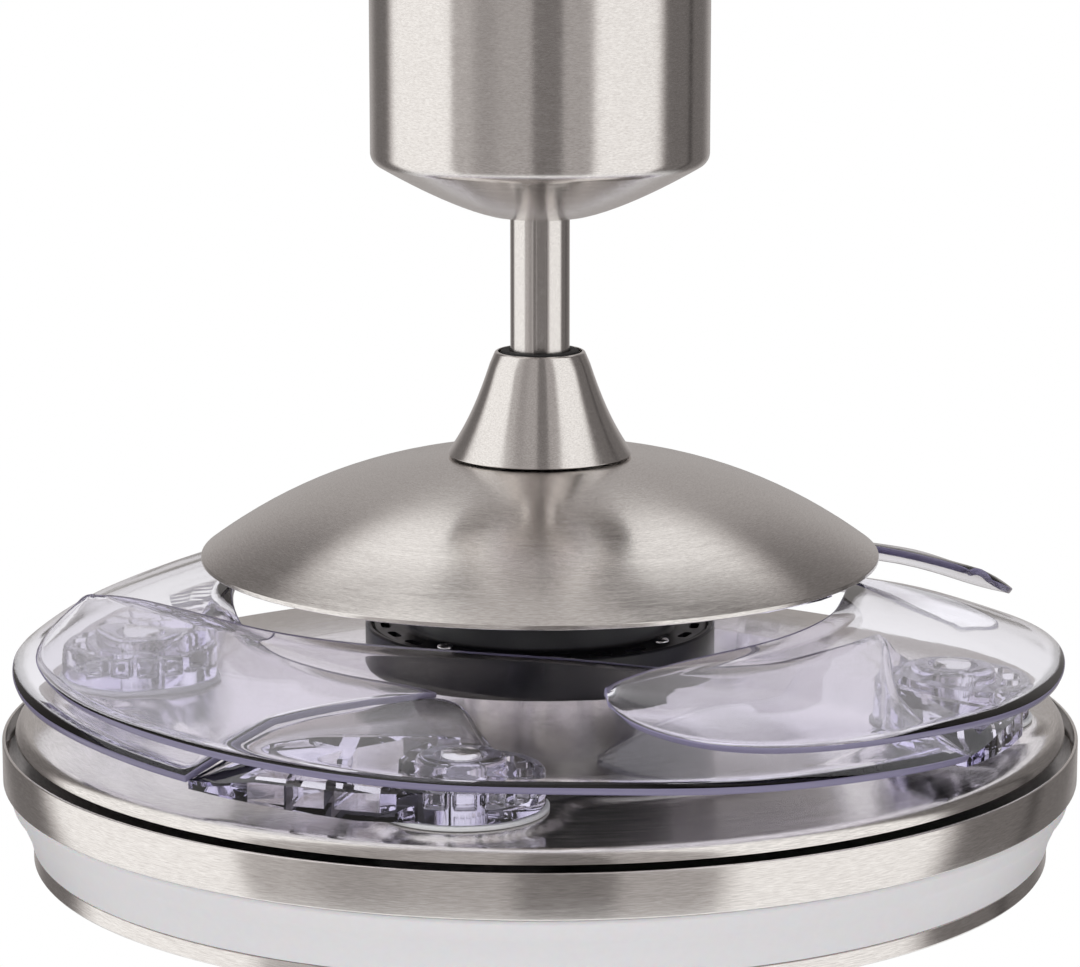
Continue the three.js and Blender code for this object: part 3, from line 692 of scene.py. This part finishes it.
# %% [markdown]
# ## Dome cover
# The dome falls faster towards its rim, like a shallow bell, and ends in a short upright lip.

# %% Dome
dome_r, dome_low, _ = size_of("dome_cover")
DOME_HOLE = 22 * MM
DOME_LIP = 2 * MM
DOME_POWER = 2.5
DOME_RISE = 50.4 * MM
rim_z = dome_low + DOME_LIP


def dome_height(radius):
    return rim_z + DOME_RISE * (1 - (radius / dome_r) ** DOME_POWER)


rim_steps = [0.992, 0.975, 0.95, 0.92, 0.88, 0.84, 0.8]
dome_steps = [*rim_steps, *[0.76 - 0.04 * i for i in range(16)], DOME_HOLE / dome_r]
dome = turn("dome_spun", [
    (dome_r, dome_low), (dome_r, rim_z), *[(dome_r * t, dome_height(dome_r * t)) for t in dome_steps]], 160)
wall(dome, THIN_WALL)
soften(dome, 0.3 * MM)
stand_for(dome, "dome_cover")

# %% [markdown]
# ## Motor
# Under the dome hang the black rotor case and its drum. The case's flange lies inside the drum's
# lip, with long cooling slots between the screws. A short nickel neck carries the blade pan.

# %% Motor drum
drum_r, drum_low, drum_top = size_of("motor_drum")
LEDGE = drum_top - 3.8 * MM
BORE = 11 * MM
drum = turn("motor_drum_cast", [
    (BORE, drum_low), (drum_r - 1.5 * MM, drum_low),
    *arc((drum_r - 1.5 * MM, drum_low + 1.5 * MM), 1.5 * MM, -90, 0, 4),
    (drum_r, drum_top - MM), (drum_r - 0.8 * MM, drum_top), (drum_r - 2.2 * MM, drum_top),
    (drum_r - 3 * MM, drum_top - MM), (drum_r - 3 * MM, LEDGE), (drum_r - 7 * MM, LEDGE),
    (drum_r - 7 * MM, drum_low + 3 * MM), (BORE, drum_low + 3 * MM)], loop=True)
stand_for(drum, "motor_drum")

# %% Rotor case
case_low, case_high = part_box("rotor_case")
flange_r = case_high.x
case_floor = case_low.z + 0.1 * MM
FLANGE_TOP = drum_top - MM
CASE_R = 68 * MM
CASE_WALL = 3 * MM
case = turn("rotor_case_cast", [
    (BORE, case_high.z - CASE_WALL), (BORE, case_high.z), (CASE_R - 8 * MM, case_high.z),
    *arc((CASE_R - 8 * MM, case_high.z - 8 * MM), 8 * MM, 90, 0, 6),
    (CASE_R, FLANGE_TOP + 2 * MM), *arc((CASE_R + 2 * MM, FLANGE_TOP + 2 * MM), 2 * MM, 180, 270, 3),
    (flange_r - 0.6 * MM, FLANGE_TOP), (flange_r, FLANGE_TOP - 0.6 * MM), (flange_r, case_floor),
    (CASE_R - CASE_WALL, case_floor), (CASE_R - CASE_WALL, case_high.z - 9 * MM),
    (CASE_R - 9 * MM, case_high.z - CASE_WALL)], loop=True)
VENTS = 24
VENTS_TO_A_SCREW = 6
VENT_RING_R = 78 * MM
VENT = (12 * MM, 4.6 * MM, 10 * MM)
SCREW_BEARING = -38
vent_cutters = []
for i in range(VENTS):
    if i % VENTS_TO_A_SCREW == 0:
        continue
    angle = math.radians(SCREW_BEARING + i * 360 / VENTS)
    cutter = block(VENT, on_circle(VENT_RING_R, angle, FLANGE_TOP), angle)
    use(cutter, "BEVEL", width=2.2 * MM, segments=4, affect="EDGES", limit_method="NONE")
    vent_cutters.append(cutter)
take(vent_cutters[0])
for cutter in vent_cutters:
    cutter.select_set(True)
bpy.ops.object.join()
cut_out(case, vent_cutters[0], "EXACT")
settle(case)
stand_for(case, "rotor_case")

# %% Case screws and neck
case_screw = cross_screw("case_screw", 4 * MM, 2.2 * MM, 1.6 * MM, 2.2 * MM)
for i in range(4):
    low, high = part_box(f"case_screw_{i + 1}")
    middle = (low + high) / 2
    place = (middle.x, middle.y, FLANGE_TOP + 0.3 * MM)
    copy = place_copy(case_screw, f"case_cross_screw_{i + 1}", place, (0, 0, math.radians(20 + 50 * i)))
    stand_for(copy, f"case_screw_{i + 1}")
bpy.data.objects.remove(case_screw)
neck_r, neck_low, neck_top = size_of("blade_neck")
neck_bore = neck_r - 3 * MM
neck = turn("blade_neck_turned", [
    (neck_bore, neck_low), (neck_r, neck_low), (neck_r, neck_top), (neck_bore, neck_top)], loop=True)
soften(neck, 0.4 * MM)
stand_for(neck, "blade_neck", neck_nickel)

# %% [markdown]
# ## Blade carrier
# The pan is one pressing: a flat top with a rolled edge, a raised middle that runs out into four
# round pads, and a guide rib below. The pads could be separate discs, but a pressing has no joint,
# so the top is a turned skin with many rings whose vertices rise where it is raised.

# %% Pan
pan_r = size_of("blade_carrier")[0]
PAN_TOP = -393 * MM
PIVOT_R = 207 * MM
BLADES = 4
PIVOT_BEARINGS = [math.radians(-10 + 360 / BLADES * i) for i in range(BLADES)]
PAD_R = 43 * MM
PAD_BLEND = 8 * MM
PAD_RISE = 3 * MM
MIDDLE_R = 184 * MM
FILLET = 22 * MM
PAN_FLAT = 257 * MM
PAN_WALL = 1.5 * MM
centres = [on_circle(PIVOT_R, a) for a in PIVOT_BEARINGS]


def smooth_step(t):
    t = min(max(t, 0), 1)
    return t * t * (3 - 2 * t)


def plateau(place):
    """How far the pressing is raised: 1 on the pads and on the round middle that joins them."""
    middle = place.xy.length - MIDDLE_R
    pad = min((place.xy - c.xy).length for c in centres) - PAD_R
    mix = max(0, 1 - abs(middle - pad) / FILLET)
    away = min(middle, pad) - FILLET * mix**2 / 4
    return smooth_step((PAD_BLEND - away) / PAD_BLEND)


ROLL_R = pan_r - PAN_FLAT
flat_radii = [30 * MM, 80 * MM, 130 * MM, 160 * MM, *[(171 + 1.6 * i) * MM for i in range(54)]]
roll = arc((PAN_FLAT, PAN_TOP - ROLL_R), ROLL_R, 80, 0, 8)
pan = turn("blade_pan_pressed", [*[(r, PAN_TOP) for r in flat_radii], *roll], 320)
for vertex in pan.data.vertices:
    if vertex.co.z > PAN_TOP - 0.01 * MM:
        vertex.co.z += PAD_RISE * plateau(vertex.co)
wall(pan, PAN_WALL)

# %% Pan guide rib and bores
RIB_R, RIB_WALL, RIB_LOW = 157.7 * MM, 6 * MM, -404.2 * MM
rib = turn("rib", [
    (RIB_R - RIB_WALL, RIB_LOW), (RIB_R, RIB_LOW), (RIB_R, PAN_TOP - MM),
    (RIB_R - RIB_WALL, PAN_TOP - MM)], 160, loop=True)
join_on(pan, rib, "EXACT")
BUSH_R = 11.3 * MM
for centre in centres:
    select_none()
    bpy.ops.mesh.primitive_cylinder_add(
        vertices=48, radius=BUSH_R + 0.3 * MM, depth=20 * MM, location=(centre.x, centre.y, PAN_TOP))
    cut_out(pan, bpy.context.object, "EXACT")
settle(pan)
stand_for(pan, "blade_carrier")
print("pan:", len(pan.data.polygons), "faces")

# %% [markdown]
# ## Light kit
# A brushed trim ring, an opal band that tapers inwards, a second brushed ring and an opal lens.

# %% Trim ring
trim_r, trim_low, trim_top = size_of("trim_ring")
TRIM_WALL = 1.6 * MM
trim = turn("trim_ring_rolled", [
    (trim_r - 9 * MM, trim_low), (trim_r - 0.8 * MM, trim_low),
    *arc((trim_r - 0.8 * MM, trim_low + 0.8 * MM), 0.8 * MM, -90, 0, 3),
    *arc((trim_r - 0.7 * MM, trim_top - 0.7 * MM), 0.7 * MM, 0, 90, 3),
    (trim_r - TRIM_WALL, trim_top), (trim_r - TRIM_WALL, trim_low + 1.5 * MM),
    (trim_r - 9 * MM, trim_low + 1.5 * MM)], 192, loop=True)
stand_for(trim, "trim_ring")

# %% Opal band
band_r, band_low, band_top = size_of("side_diffuser")
BAND_LOW_R = 256 * MM
band = turn("opal_band", [
    (BAND_LOW_R, band_low), (BAND_LOW_R + 1.4 * MM, band_low + 6 * MM),
    (band_r - 5.6 * MM, band_top - 13.6 * MM),
    (band_r - 4.2 * MM, band_top - 11.6 * MM), (band_r - 2.4 * MM, band_top - 9 * MM),
    (band_r - 1.2 * MM, band_top - 5 * MM), (band_r, band_top - 2 * MM), (band_r - 0.6 * MM, band_top)], 192)
wall(band, 2.2 * MM)
soften(band, 0.4 * MM)
stand_for(band, "side_diffuser")

# %% Lower ring
low_r, low_low, low_top = size_of("lower_ring")
RING_WALL = 4 * MM
LEDGE_R = low_r - RING_WALL - 4 * MM
lower = turn("lower_ring_rolled", [
    (LEDGE_R, low_low + 2 * MM), (low_r - 2 * MM, low_low), (low_r - 0.5 * MM, low_low + 0.2 * MM),
    (low_r, low_low + MM), (low_r, low_top - 0.5 * MM), (low_r - 0.5 * MM, low_top),
    (low_r - RING_WALL, low_top), (low_r - RING_WALL, low_low + 4.5 * MM), (LEDGE_R, low_low + 4.5 * MM)],
    192, loop=True)
stand_for(lower, "lower_ring")

# %% Lens
lens_r = size_of("bottom_diffuser")[0]
THROAT = LEDGE_R - 0.9 * MM
LENS_DROP = 14 * MM
lens_steps = [0.985, 0.96, 0.92, 0.86, 0.78, 0.68, 0.56, 0.42, 0.26, 0.1]
lens = turn("opal_lens", [
    (lens_r, low_low + 4.8 * MM), (THROAT, low_low + 4.8 * MM),
    *[(THROAT * t, low_low - LENS_DROP * (1 - t**2.4)) for t in lens_steps], (0, low_low - LENS_DROP)], 160)
wall(lens, 2.2 * MM, 1)
stand_for(lens, "bottom_diffuser")

# %% [markdown]
# ## Blades
# Each blade is a clear moulding that wraps round the pan: a wide sheet, a ribbed arm with pockets at
# its root, a raised web where the two meet, and a round hub on the pivot. The sheet lies between two
# long edges that climb and turn at once, which no single operator follows, so a grid is added and
# its vertices are laid between the edges in code. Solidify then gives the thickness and Bevel the
# polished rim, and Booleans join it to the arm and the hub.

# %% Blade edges
# Each point is (degrees back from the pivot, radius, height), from the root to the tip.
INNER_EDGE = [
    (0.5, 173, -352), (10, 172, -346), (25, 168.5, -344.8), (42, 162, -344.4), (58, 156.5, -339.5),
    (75, 154, -333), (94, 153.5, -330.4), (112, 162, -329.3), (130, 171, -329.3), (144, 183.5, -328),
    (154, 199, -327.8), (160, 213, -329.2), (162.3, 221.5, -331.6),
]
OUTER_EDGE = [
    (-9, 232, -385), (9, 248, -383), (26, 256.5, -378.5), (43, 262.5, -373), (59, 264.8, -369.7),
    (76, 263.3, -366.3), (93, 262, -365.6), (110, 264, -362), (126, 265.5, -357.6), (142, 260, -356),
    (152.5, 256, -351), (159.4, 244, -343.5), (162.2, 231, -336),
]
# Where the sheet starts, as (part of the way across, degrees back): an arc round the arm.
SHEET_START = [(0, 6), (0.1, 9.3), (0.22, 16), (0.35, 21.5), (0.5, 26), (0.66, 27.4), (0.85, 28.4), (1, 29)]
SHEET = 3.6 * MM
CAMBER = 3 * MM
TIP_CLOSENESS = 0.4  # how much closer the steps along the sheet lie towards the tip
TIP_BULGE = 0.4  # degrees that the rounded tip's middle reaches past its corners
TIP_POWER = 30  # more keeps that bulge closer to the tip


def smooth_line(points, per_step=12):
    """Many points on a smooth curve through a few, with the distance run at each."""
    points = [Vector(p) for p in points]
    points = [2 * points[0] - points[1], *points, 2 * points[-1] - points[-2]]
    line = []
    for p0, p1, p2, p3 in zip(points, points[1:], points[2:], points[3:]):
        for i in range(per_step):
            t = i / per_step
            a, b, c = 2 * p1, p2 - p0, 2 * p0 - 5 * p1 + 4 * p2 - p3
            line.append(0.5 * (a + b * t + c * t**2 + (3 * p1 - p0 - 3 * p2 + p3) * t**3))
    line.append(points[-2])
    run = [0.0]
    for a, b in zip(line, line[1:]):
        arc_a, arc_b = (Vector((p[1] * math.radians(p[0]), p[1], p[2])) for p in (a, b))
        run.append(run[-1] + (arc_b - arc_a).length)
    return line, [r / run[-1] for r in run]


def along_line(smooth, f):
    line, run = smooth
    for i in range(len(run) - 1):
        if run[i + 1] >= f:
            return line[i].lerp(line[i + 1], (f - run[i]) / max(run[i + 1] - run[i], 1e-9))
    return line[-1]


INNER_LINE, OUTER_LINE = smooth_line(INNER_EDGE), smooth_line(OUTER_EDGE)


def start_degrees(t):
    for (t0, d0), (t1, d1) in zip(SHEET_START, SHEET_START[1:]):
        if t <= t1:
            return d0 + (d1 - d0) * (t - t0) / (t1 - t0)
    return SHEET_START[-1][1]


def sheet_polar(f, t):
    """Degrees back, radius and height of the sheet's middle: f along it from 0 to 1, t across."""
    return along_line(INNER_LINE, f).lerp(along_line(OUTER_LINE, f), t)


def start_of(t):
    """The part of the length at which the sheet starts, found by halving."""
    low, high = 0.0, 0.4
    for _ in range(24):
        middle = (low + high) / 2
        low, high = (middle, high) if sheet_polar(middle, t)[0] < start_degrees(t) else (low, middle)
    return low


def blade_point(u, t):
    """A point of the sheet's middle, in a blade whose pivot is at 0 degrees."""
    start = start_of(t)
    even = 1 - ((1 - TIP_CLOSENESS) * (1 - u) + TIP_CLOSENESS * (1 - u) ** 2)
    degrees, radius, height = sheet_polar(start + (1 - start) * even, t)
    middle = 4 * t * (1 - t)
    degrees += TIP_BULGE * middle * u**TIP_POWER
    lift = CAMBER * middle
    return on_circle(radius * MM, -math.radians(degrees), height * MM + lift)


# %% Blade sheet
LONG_STEPS = 110
CROSS_STEPS = 10


def mark_rim(piece):
    """Turns the second material number, which the narrow and bevelled faces have, into the mark."""
    # The mark picks the faces that get the painted violet-grey edge colour.
    mark = piece.data.attributes.new(RIM_MARK, "FLOAT", "FACE")
    for polygon in piece.data.polygons:
        mark.data[polygon.index].value = float(polygon.material_index)
    for polygon in piece.data.polygons:
        polygon.material_index = 0


def blade_sheet(name):
    select_none()
    bpy.ops.mesh.primitive_grid_add(x_subdivisions=LONG_STEPS, y_subdivisions=CROSS_STEPS, size=1)
    piece = bpy.context.object
    piece.name = name
    for vertex in piece.data.vertices:
        vertex.co = blade_point(vertex.co.x + 0.5, vertex.co.y + 0.5)
    face_outwards(piece)
    for _ in range(2):
        piece.data.materials.append(clear_blade)
    use(piece, "SOLIDIFY", thickness=SHEET, offset=0, use_even_offset=True, material_offset_rim=1)
    use(piece, "BEVEL", width=0.8 * MM, segments=2, limit_method="ANGLE", angle_limit=EDGE_ANGLE,
        use_clamp_overlap=False, material=1)
    return settle(piece)


sheet = blade_sheet("blade_blank")
print("sheet:", len(sheet.data.polygons), "faces")

# %% [markdown]
# ### Arm, web and hub
# The arm is a block with its own outline, its top falling outwards and its underside rising towards
# the sheet. Three pockets leave ribs between them, and nine more ring the boss on the hub. They
# could be inset in edit mode, but their outlines cross the hub's round wall, so they are cut out.
# Places here are (to the right of the pivot, towards the middle of the fan), in millimetres.

# %% Arm outlines
ARM = [
    (-6, -36), (-24, -37.5), (-41, -38), (-71, -34), (-90, -29.5), (-108, -24), (-124, -17.5), (-119, -8),
    (-104, 8), (-93, 19), (-73, 26), (-52, 29.5), (-29, 33), (-18, 34.5), (-9, 34), (-2, 31), (6, 24),
    (12, 10), (10, -14),
]
POCKETS = [
    [(-32, 25), (-51, 12), (-52.5, -27), (-31, -31), (-25, -20), (-29, 0), (-26, 13), (-20, 23)],
    [(-57, 8), (-71, -7), (-72, -26), (-57, -28)],
    [(-76, -11), (-94, -21), (-76, -25)],
]
# The web's top as (right, inwards, height), from the arm's far end round to the hub.
WEB = [
    (-122, -15, -377.5), (-112, -4, -373), (-103, 6, -368), (-93, 17, -363.5), (-83, 21, -360.5),
    (-73, 24, -358), (-62, 25.5, -356), (-52, 27, -354), (-40, 29.5, -351.5), (-29, 31.5, -349.5),
    (-18, 33, -349), (-9, 33, -351), (-3.5, 31.5, -355), (0.5, 29.5, -360), (6, 25, -365), (12, 20, -369),
    (19, 14, -372),
]
WEB_FOOT, WEB_WALL = -378, 3.2 * MM
POCKET_FLOOR = -384.5 * MM
POCKET_TOP = -350 * MM
ARM_TOP, ARM_LOW = -366, -387.4
# Each slope is (height, start, run).
OUTWARD_FALL, END_FALL, UNDERSIDE_RISE = (8, 30, 65), (6, -80, 44), (5.4, -40, 84)


def arm_top(right, inwards):
    fall, start, run = OUTWARD_FALL
    end_fall, end_start, end_run = END_FALL
    drop = fall * (start - inwards) / run + end_fall * smooth_step((end_start - right) / end_run)
    return (ARM_TOP - drop) * MM


def arm_bottom(right):
    rise, start, run = UNDERSIDE_RISE
    return (ARM_LOW + rise * min(max((start - right) / run, 0), 1)) * MM


def at_pivot(right, inwards, height):
    return Vector((right * MM, inwards * MM - PIVOT_R, height))


# %% Arm and pockets
def upright(name, outline, low, high):
    """A block with upright walls on an outline. low and high give the heights at a place."""
    select_none()
    bpy.ops.mesh.primitive_circle_add(vertices=len(outline), radius=1, fill_type="NGON")
    piece = bpy.context.object
    piece.name = name
    for vertex, (right, inwards) in zip(piece.data.vertices, outline):
        vertex.co = at_pivot(right, inwards, low(right, inwards))
    open_mesh(piece)
    bpy.ops.mesh.extrude_region_move()
    close_mesh()
    for vertex in piece.data.vertices:
        if vertex.select:
            right, inwards = vertex.co.x / MM, (vertex.co.y + PIVOT_R) / MM
            vertex.co.z = high(right, inwards)
    open_mesh(piece)
    bpy.ops.mesh.quads_convert_to_tris()
    bpy.ops.mesh.normals_make_consistent(inside=False)
    close_mesh()
    return piece


arm = upright("arm", ARM, lambda right, inwards: arm_bottom(right), arm_top)
HUB_LOW = ARM_LOW * MM
HUB_TOP = -372 * MM
HUB_R = 38.8 * MM
BOSS_R = 21 * MM
BOSS_TOP = -365.7 * MM
CAP_R = 9.5 * MM
CAP_SEAT = -373 * MM
BUSH_BORE = 8.3 * MM
hub = turn("hub", [
    (BUSH_BORE, HUB_LOW), (HUB_R - 0.6 * MM, HUB_LOW), (HUB_R, HUB_LOW + 0.6 * MM), (HUB_R, HUB_TOP - 2 * MM),
    *arc((HUB_R - 2 * MM, HUB_TOP - 2 * MM), 2 * MM, 20, 90, 4), (BOSS_R + MM, HUB_TOP),
    *arc((BOSS_R - 3 * MM, BOSS_TOP - 3 * MM), 3 * MM, 0, 90, 4), (CAP_R + 3 * MM, BOSS_TOP),
    (CAP_R + MM, CAP_SEAT), (BUSH_BORE, CAP_SEAT)], 96, loop=True)
hub.location = on_circle(PIVOT_R, 0)
settle(hub)
join_on(arm, hub)
for i, outline in enumerate(POCKETS):
    cut_out(arm, upright(f"pocket_{i}", outline, lambda x, y: POCKET_FLOOR, lambda x, y: POCKET_TOP))
print("arm with hub:", len(arm.data.polygons), "faces")

# %% Pockets round the boss
RING_POCKETS, FIRST_POCKET, POCKET_STEP = 9, -100, 24
POCKET_RING_R = 29.3 * MM
RING_POCKET = (10 * MM, 8.4 * MM, 24 * MM)
RING_POCKET_Z = -370 * MM
for i in range(RING_POCKETS):
    angle = math.radians(FIRST_POCKET + POCKET_STEP * i)
    place = (POCKET_RING_R * math.cos(angle), POCKET_RING_R * math.sin(angle) - PIVOT_R, RING_POCKET_Z)
    cutter = block(RING_POCKET, place, angle + math.pi / 2)
    use(cutter, "BEVEL", width=1.2 * MM, segments=2, limit_method="NONE")
    cut_out(arm, cutter)


# %% Web
def web_wall():
    """The upright wall along the arm's inner side: a strip of a grid, laid along the line."""
    line, _ = smooth_line(WEB, 3)
    select_none()
    columns = len(line) - 1
    bpy.ops.mesh.primitive_grid_add(x_subdivisions=columns, y_subdivisions=3, size=1)
    web = bpy.context.object
    for vertex in web.data.vertices:
        right, inwards, top = line[round((vertex.co.x + 0.5) * columns)]
        bottom = min(top - 2, WEB_FOOT)
        share = vertex.co.y + 0.5
        vertex.co = at_pivot(right, inwards, (bottom + (top - bottom) * share) * MM)
    use(web, "SOLIDIFY", thickness=WEB_WALL, offset=0, use_even_offset=True)
    face_outwards(web)
    return soften(web, 0.9 * MM)


join_on(arm, web_wall())
arm.data.materials.clear()
arm.data.materials.append(clear_blade)
join_on(sheet, arm)
mark_rim(sheet)
settle(sheet)
print("blade:", len(sheet.data.polygons), "faces")

# %% Four blades
for i, bearing in enumerate(PIVOT_BEARINGS):
    copy = place_copy(sheet, f"blade_moulding_{i + 1}", (0, 0, 0), (0, 0, bearing))
    stand_for(copy, f"blade_{i + 1}")
bpy.data.objects.remove(sheet)

# %% [markdown]
# ## Spindles and bushes
# Each blade turns on a steel spindle with a round cap, in a white bush whose flange is the bright
# ring under the hub. Both are turned once and copied.

# %% Spindles and bushes
SPINDLE_R, CAP_LOW, CAP_EDGE, CAP_TOP = 8 * MM, -372.6 * MM, -366.5 * MM, -363 * MM
spindle_low = size_of("pivot_spindle_1")[1]
spindle = turn("spindle", [
    (0, spindle_low), (SPINDLE_R - 0.8 * MM, spindle_low), (SPINDLE_R, spindle_low + 0.8 * MM),
    (SPINDLE_R, CAP_LOW), (CAP_R, CAP_LOW), (CAP_R, CAP_EDGE),
    *arc((CAP_R - 3 * MM, CAP_EDGE), 3 * MM, 0, 60, 4), (0, CAP_TOP)], 48)
BUSH_LOW, PAD_TOP = -397 * MM, PAN_TOP + PAD_RISE
RIM_R, RIM_LOW, RIM_TOP = 40.5 * MM, PAD_TOP + 0.2 * MM, -387.7 * MM
bush = turn("bush", [
    (BUSH_BORE, BUSH_LOW), (BUSH_R, BUSH_LOW), (BUSH_R, RIM_LOW), (RIM_R - 0.5 * MM, RIM_LOW),
    (RIM_R, PAD_TOP + 0.7 * MM), (RIM_R, RIM_TOP - 0.6 * MM), (RIM_R - 0.6 * MM, RIM_TOP),
    (BUSH_BORE, RIM_TOP)], 96, loop=True)
for i, centre in enumerate(centres):
    copy = place_copy(spindle, f"spindle_turned_{i + 1}", centre)
    stand_for(copy, f"pivot_spindle_{i + 1}", chrome)
    copy = place_copy(bush, f"bush_moulded_{i + 1}", centre)
    stand_for(copy, f"pivot_bush_{i + 1}")
bpy.data.objects.remove(spindle)
bpy.data.objects.remove(bush)

# %% [markdown]
# ## Hanging parts
# A black ball carries the rod in its seat, and a black yoke joins the rod to the motor. Both are
# turned again with more sides than the CAD has.

# %% Ball and yoke
BALL_R, BALL_BORE, BALL_HOLE_R = 24 * MM, 16.35 * MM, 3.9 * MM
ball_low, ball_high = (corner.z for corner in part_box("hanger_ball"))
half_angle = math.degrees(math.asin((ball_high - BALL_Z) / BALL_R))
ball = turn("hanger_ball_moulded", [
    (BALL_BORE, ball_low), *arc((0, BALL_Z), BALL_R, -half_angle, half_angle, 16), (BALL_BORE, ball_high)],
    64, loop=True)
cross_hole(ball, BALL_HOLE_R, BALL_Z)
soften(ball, 0.3 * MM)
stand_for(ball, "hanger_ball")
YOKE_R, YOKE_FLANGE, YOKE_BORE = 20 * MM, -268.2 * MM, 9.3 * MM
SOCKET_R, SOCKET_FLOOR = 15.05 * MM, -258 * MM
yoke_r, yoke_low, yoke_top = size_of("motor_yoke")
yoke = turn("motor_yoke_cast", [
    (YOKE_BORE, yoke_low), (yoke_r, yoke_low), (yoke_r, YOKE_FLANGE), (YOKE_R + 3 * MM, YOKE_FLANGE),
    (YOKE_R, YOKE_FLANGE + 3 * MM), (YOKE_R, yoke_top), (SOCKET_R, yoke_top), (SOCKET_R, SOCKET_FLOOR),
    (YOKE_BORE, SOCKET_FLOOR)], 64, loop=True)
cross_hole(yoke, PIN_HOLE_R, YOKE_PIN_Z)
GRUB_HOLE_R, GRUB_Z, DRILL = 2.3 * MM, yoke_top - 8 * MM, 12 * MM
for side in (-1, 1):
    cross_hole(yoke, GRUB_HOLE_R, GRUB_Z, "x", side * YOKE_R, DRILL)
soften(yoke, 0.5 * MM)
stand_for(yoke, "motor_yoke")

# %% [markdown]
# ## Flat parts
# Plates, gears and boxes already have the right shape in the CAD. What they lack is the small
# radius that every real edge has, so each is copied, its loose triangles are merged, flat faces are
# made whole again and the edges are bevelled.


# %% Rounded copies
def rounded_copy(node, name, width):
    """A copy of a CAD node with its edges softened. The node itself is left as it is."""
    piece = place_copy(frame["nodes"][node], name, (0, 0, 0))
    open_mesh(piece)
    bpy.ops.mesh.remove_doubles(threshold=0.01 * MM)
    bpy.ops.mesh.dissolve_limited(angle_limit=math.radians(1))
    close_mesh()
    soften(piece, width)
    return stand_for(piece, node)


# Each CAD node gets (name of its copy, rounding in millimetres).
ROUNDED = {
    "hanger_bracket": ("bracket_pressed", 0.4), "remote_receiver": ("receiver_box", 2.0),
    "dome_nut": ("dome_nut_hex", 0.5), "shaft_nut": ("shaft_nut_hex", 0.5), "led_driver": ("driver_box", 1.5),
    "light_plate": ("light_plate_pressed", 0.3), "sync_ring": ("sync_ring_moulded", 0.3),
    **{f"pivot_pinion_{i}": (f"pinion_moulded_{i}", 0.3) for i in range(1, 5)},
}
for node, (name, width) in ROUNDED.items():
    rounded_copy(node, name, width * MM)
print("rounded copies:", len(ROUNDED))

# %% [markdown]
# ## Floor
# The fan hangs well above a plain pale floor, which is below the photograph's frame and only shows
# when the fan is seen from higher up.

# %% Floor
FLOOR_Z = -1.25
FLOOR_R = 2.0
FLOOR_GLOW = 0.32  # added only to what is seen, so that the floor is pale but throws no extra light
floor = turn("studio_floor", [(FLOOR_R, FLOOR_Z), (FLOOR_R / 2, FLOOR_Z), (0, FLOOR_Z)], 64)


def floor_material():
    """Pale card that fades out towards its edge, so that no edge shows."""
    material, tree, shader = new_material("pale_floor", Base_Color=(0.93, 0.93, 0.93, 1), Roughness=0.7)
    add, fill, maths = node_tools(tree)
    away = add("ShaderNodeVectorMath", operation="LENGTH")
    centred = add("ShaderNodeVectorMath", operation="MULTIPLY")
    centred.inputs[1].default_value = (1, 1, 0)
    tree.links.new(add("ShaderNodeTexCoord").outputs["Object"], centred.inputs[0])
    tree.links.new(centred.outputs["Vector"], away.inputs[0])
    fade = eased(add, fill, away.outputs["Value"], FLOOR_R * 0.45, FLOOR_R * 0.98, 1.0, 0.0)
    glow = maths("MULTIPLY", looked_at(add, maths), FLOOR_GLOW)
    feed(tree, shader, Alpha=fade, Emission_Strength=glow)
    shader.inputs["Emission Color"].default_value = WHITE
    return material


floor.data.materials.append(floor_material())
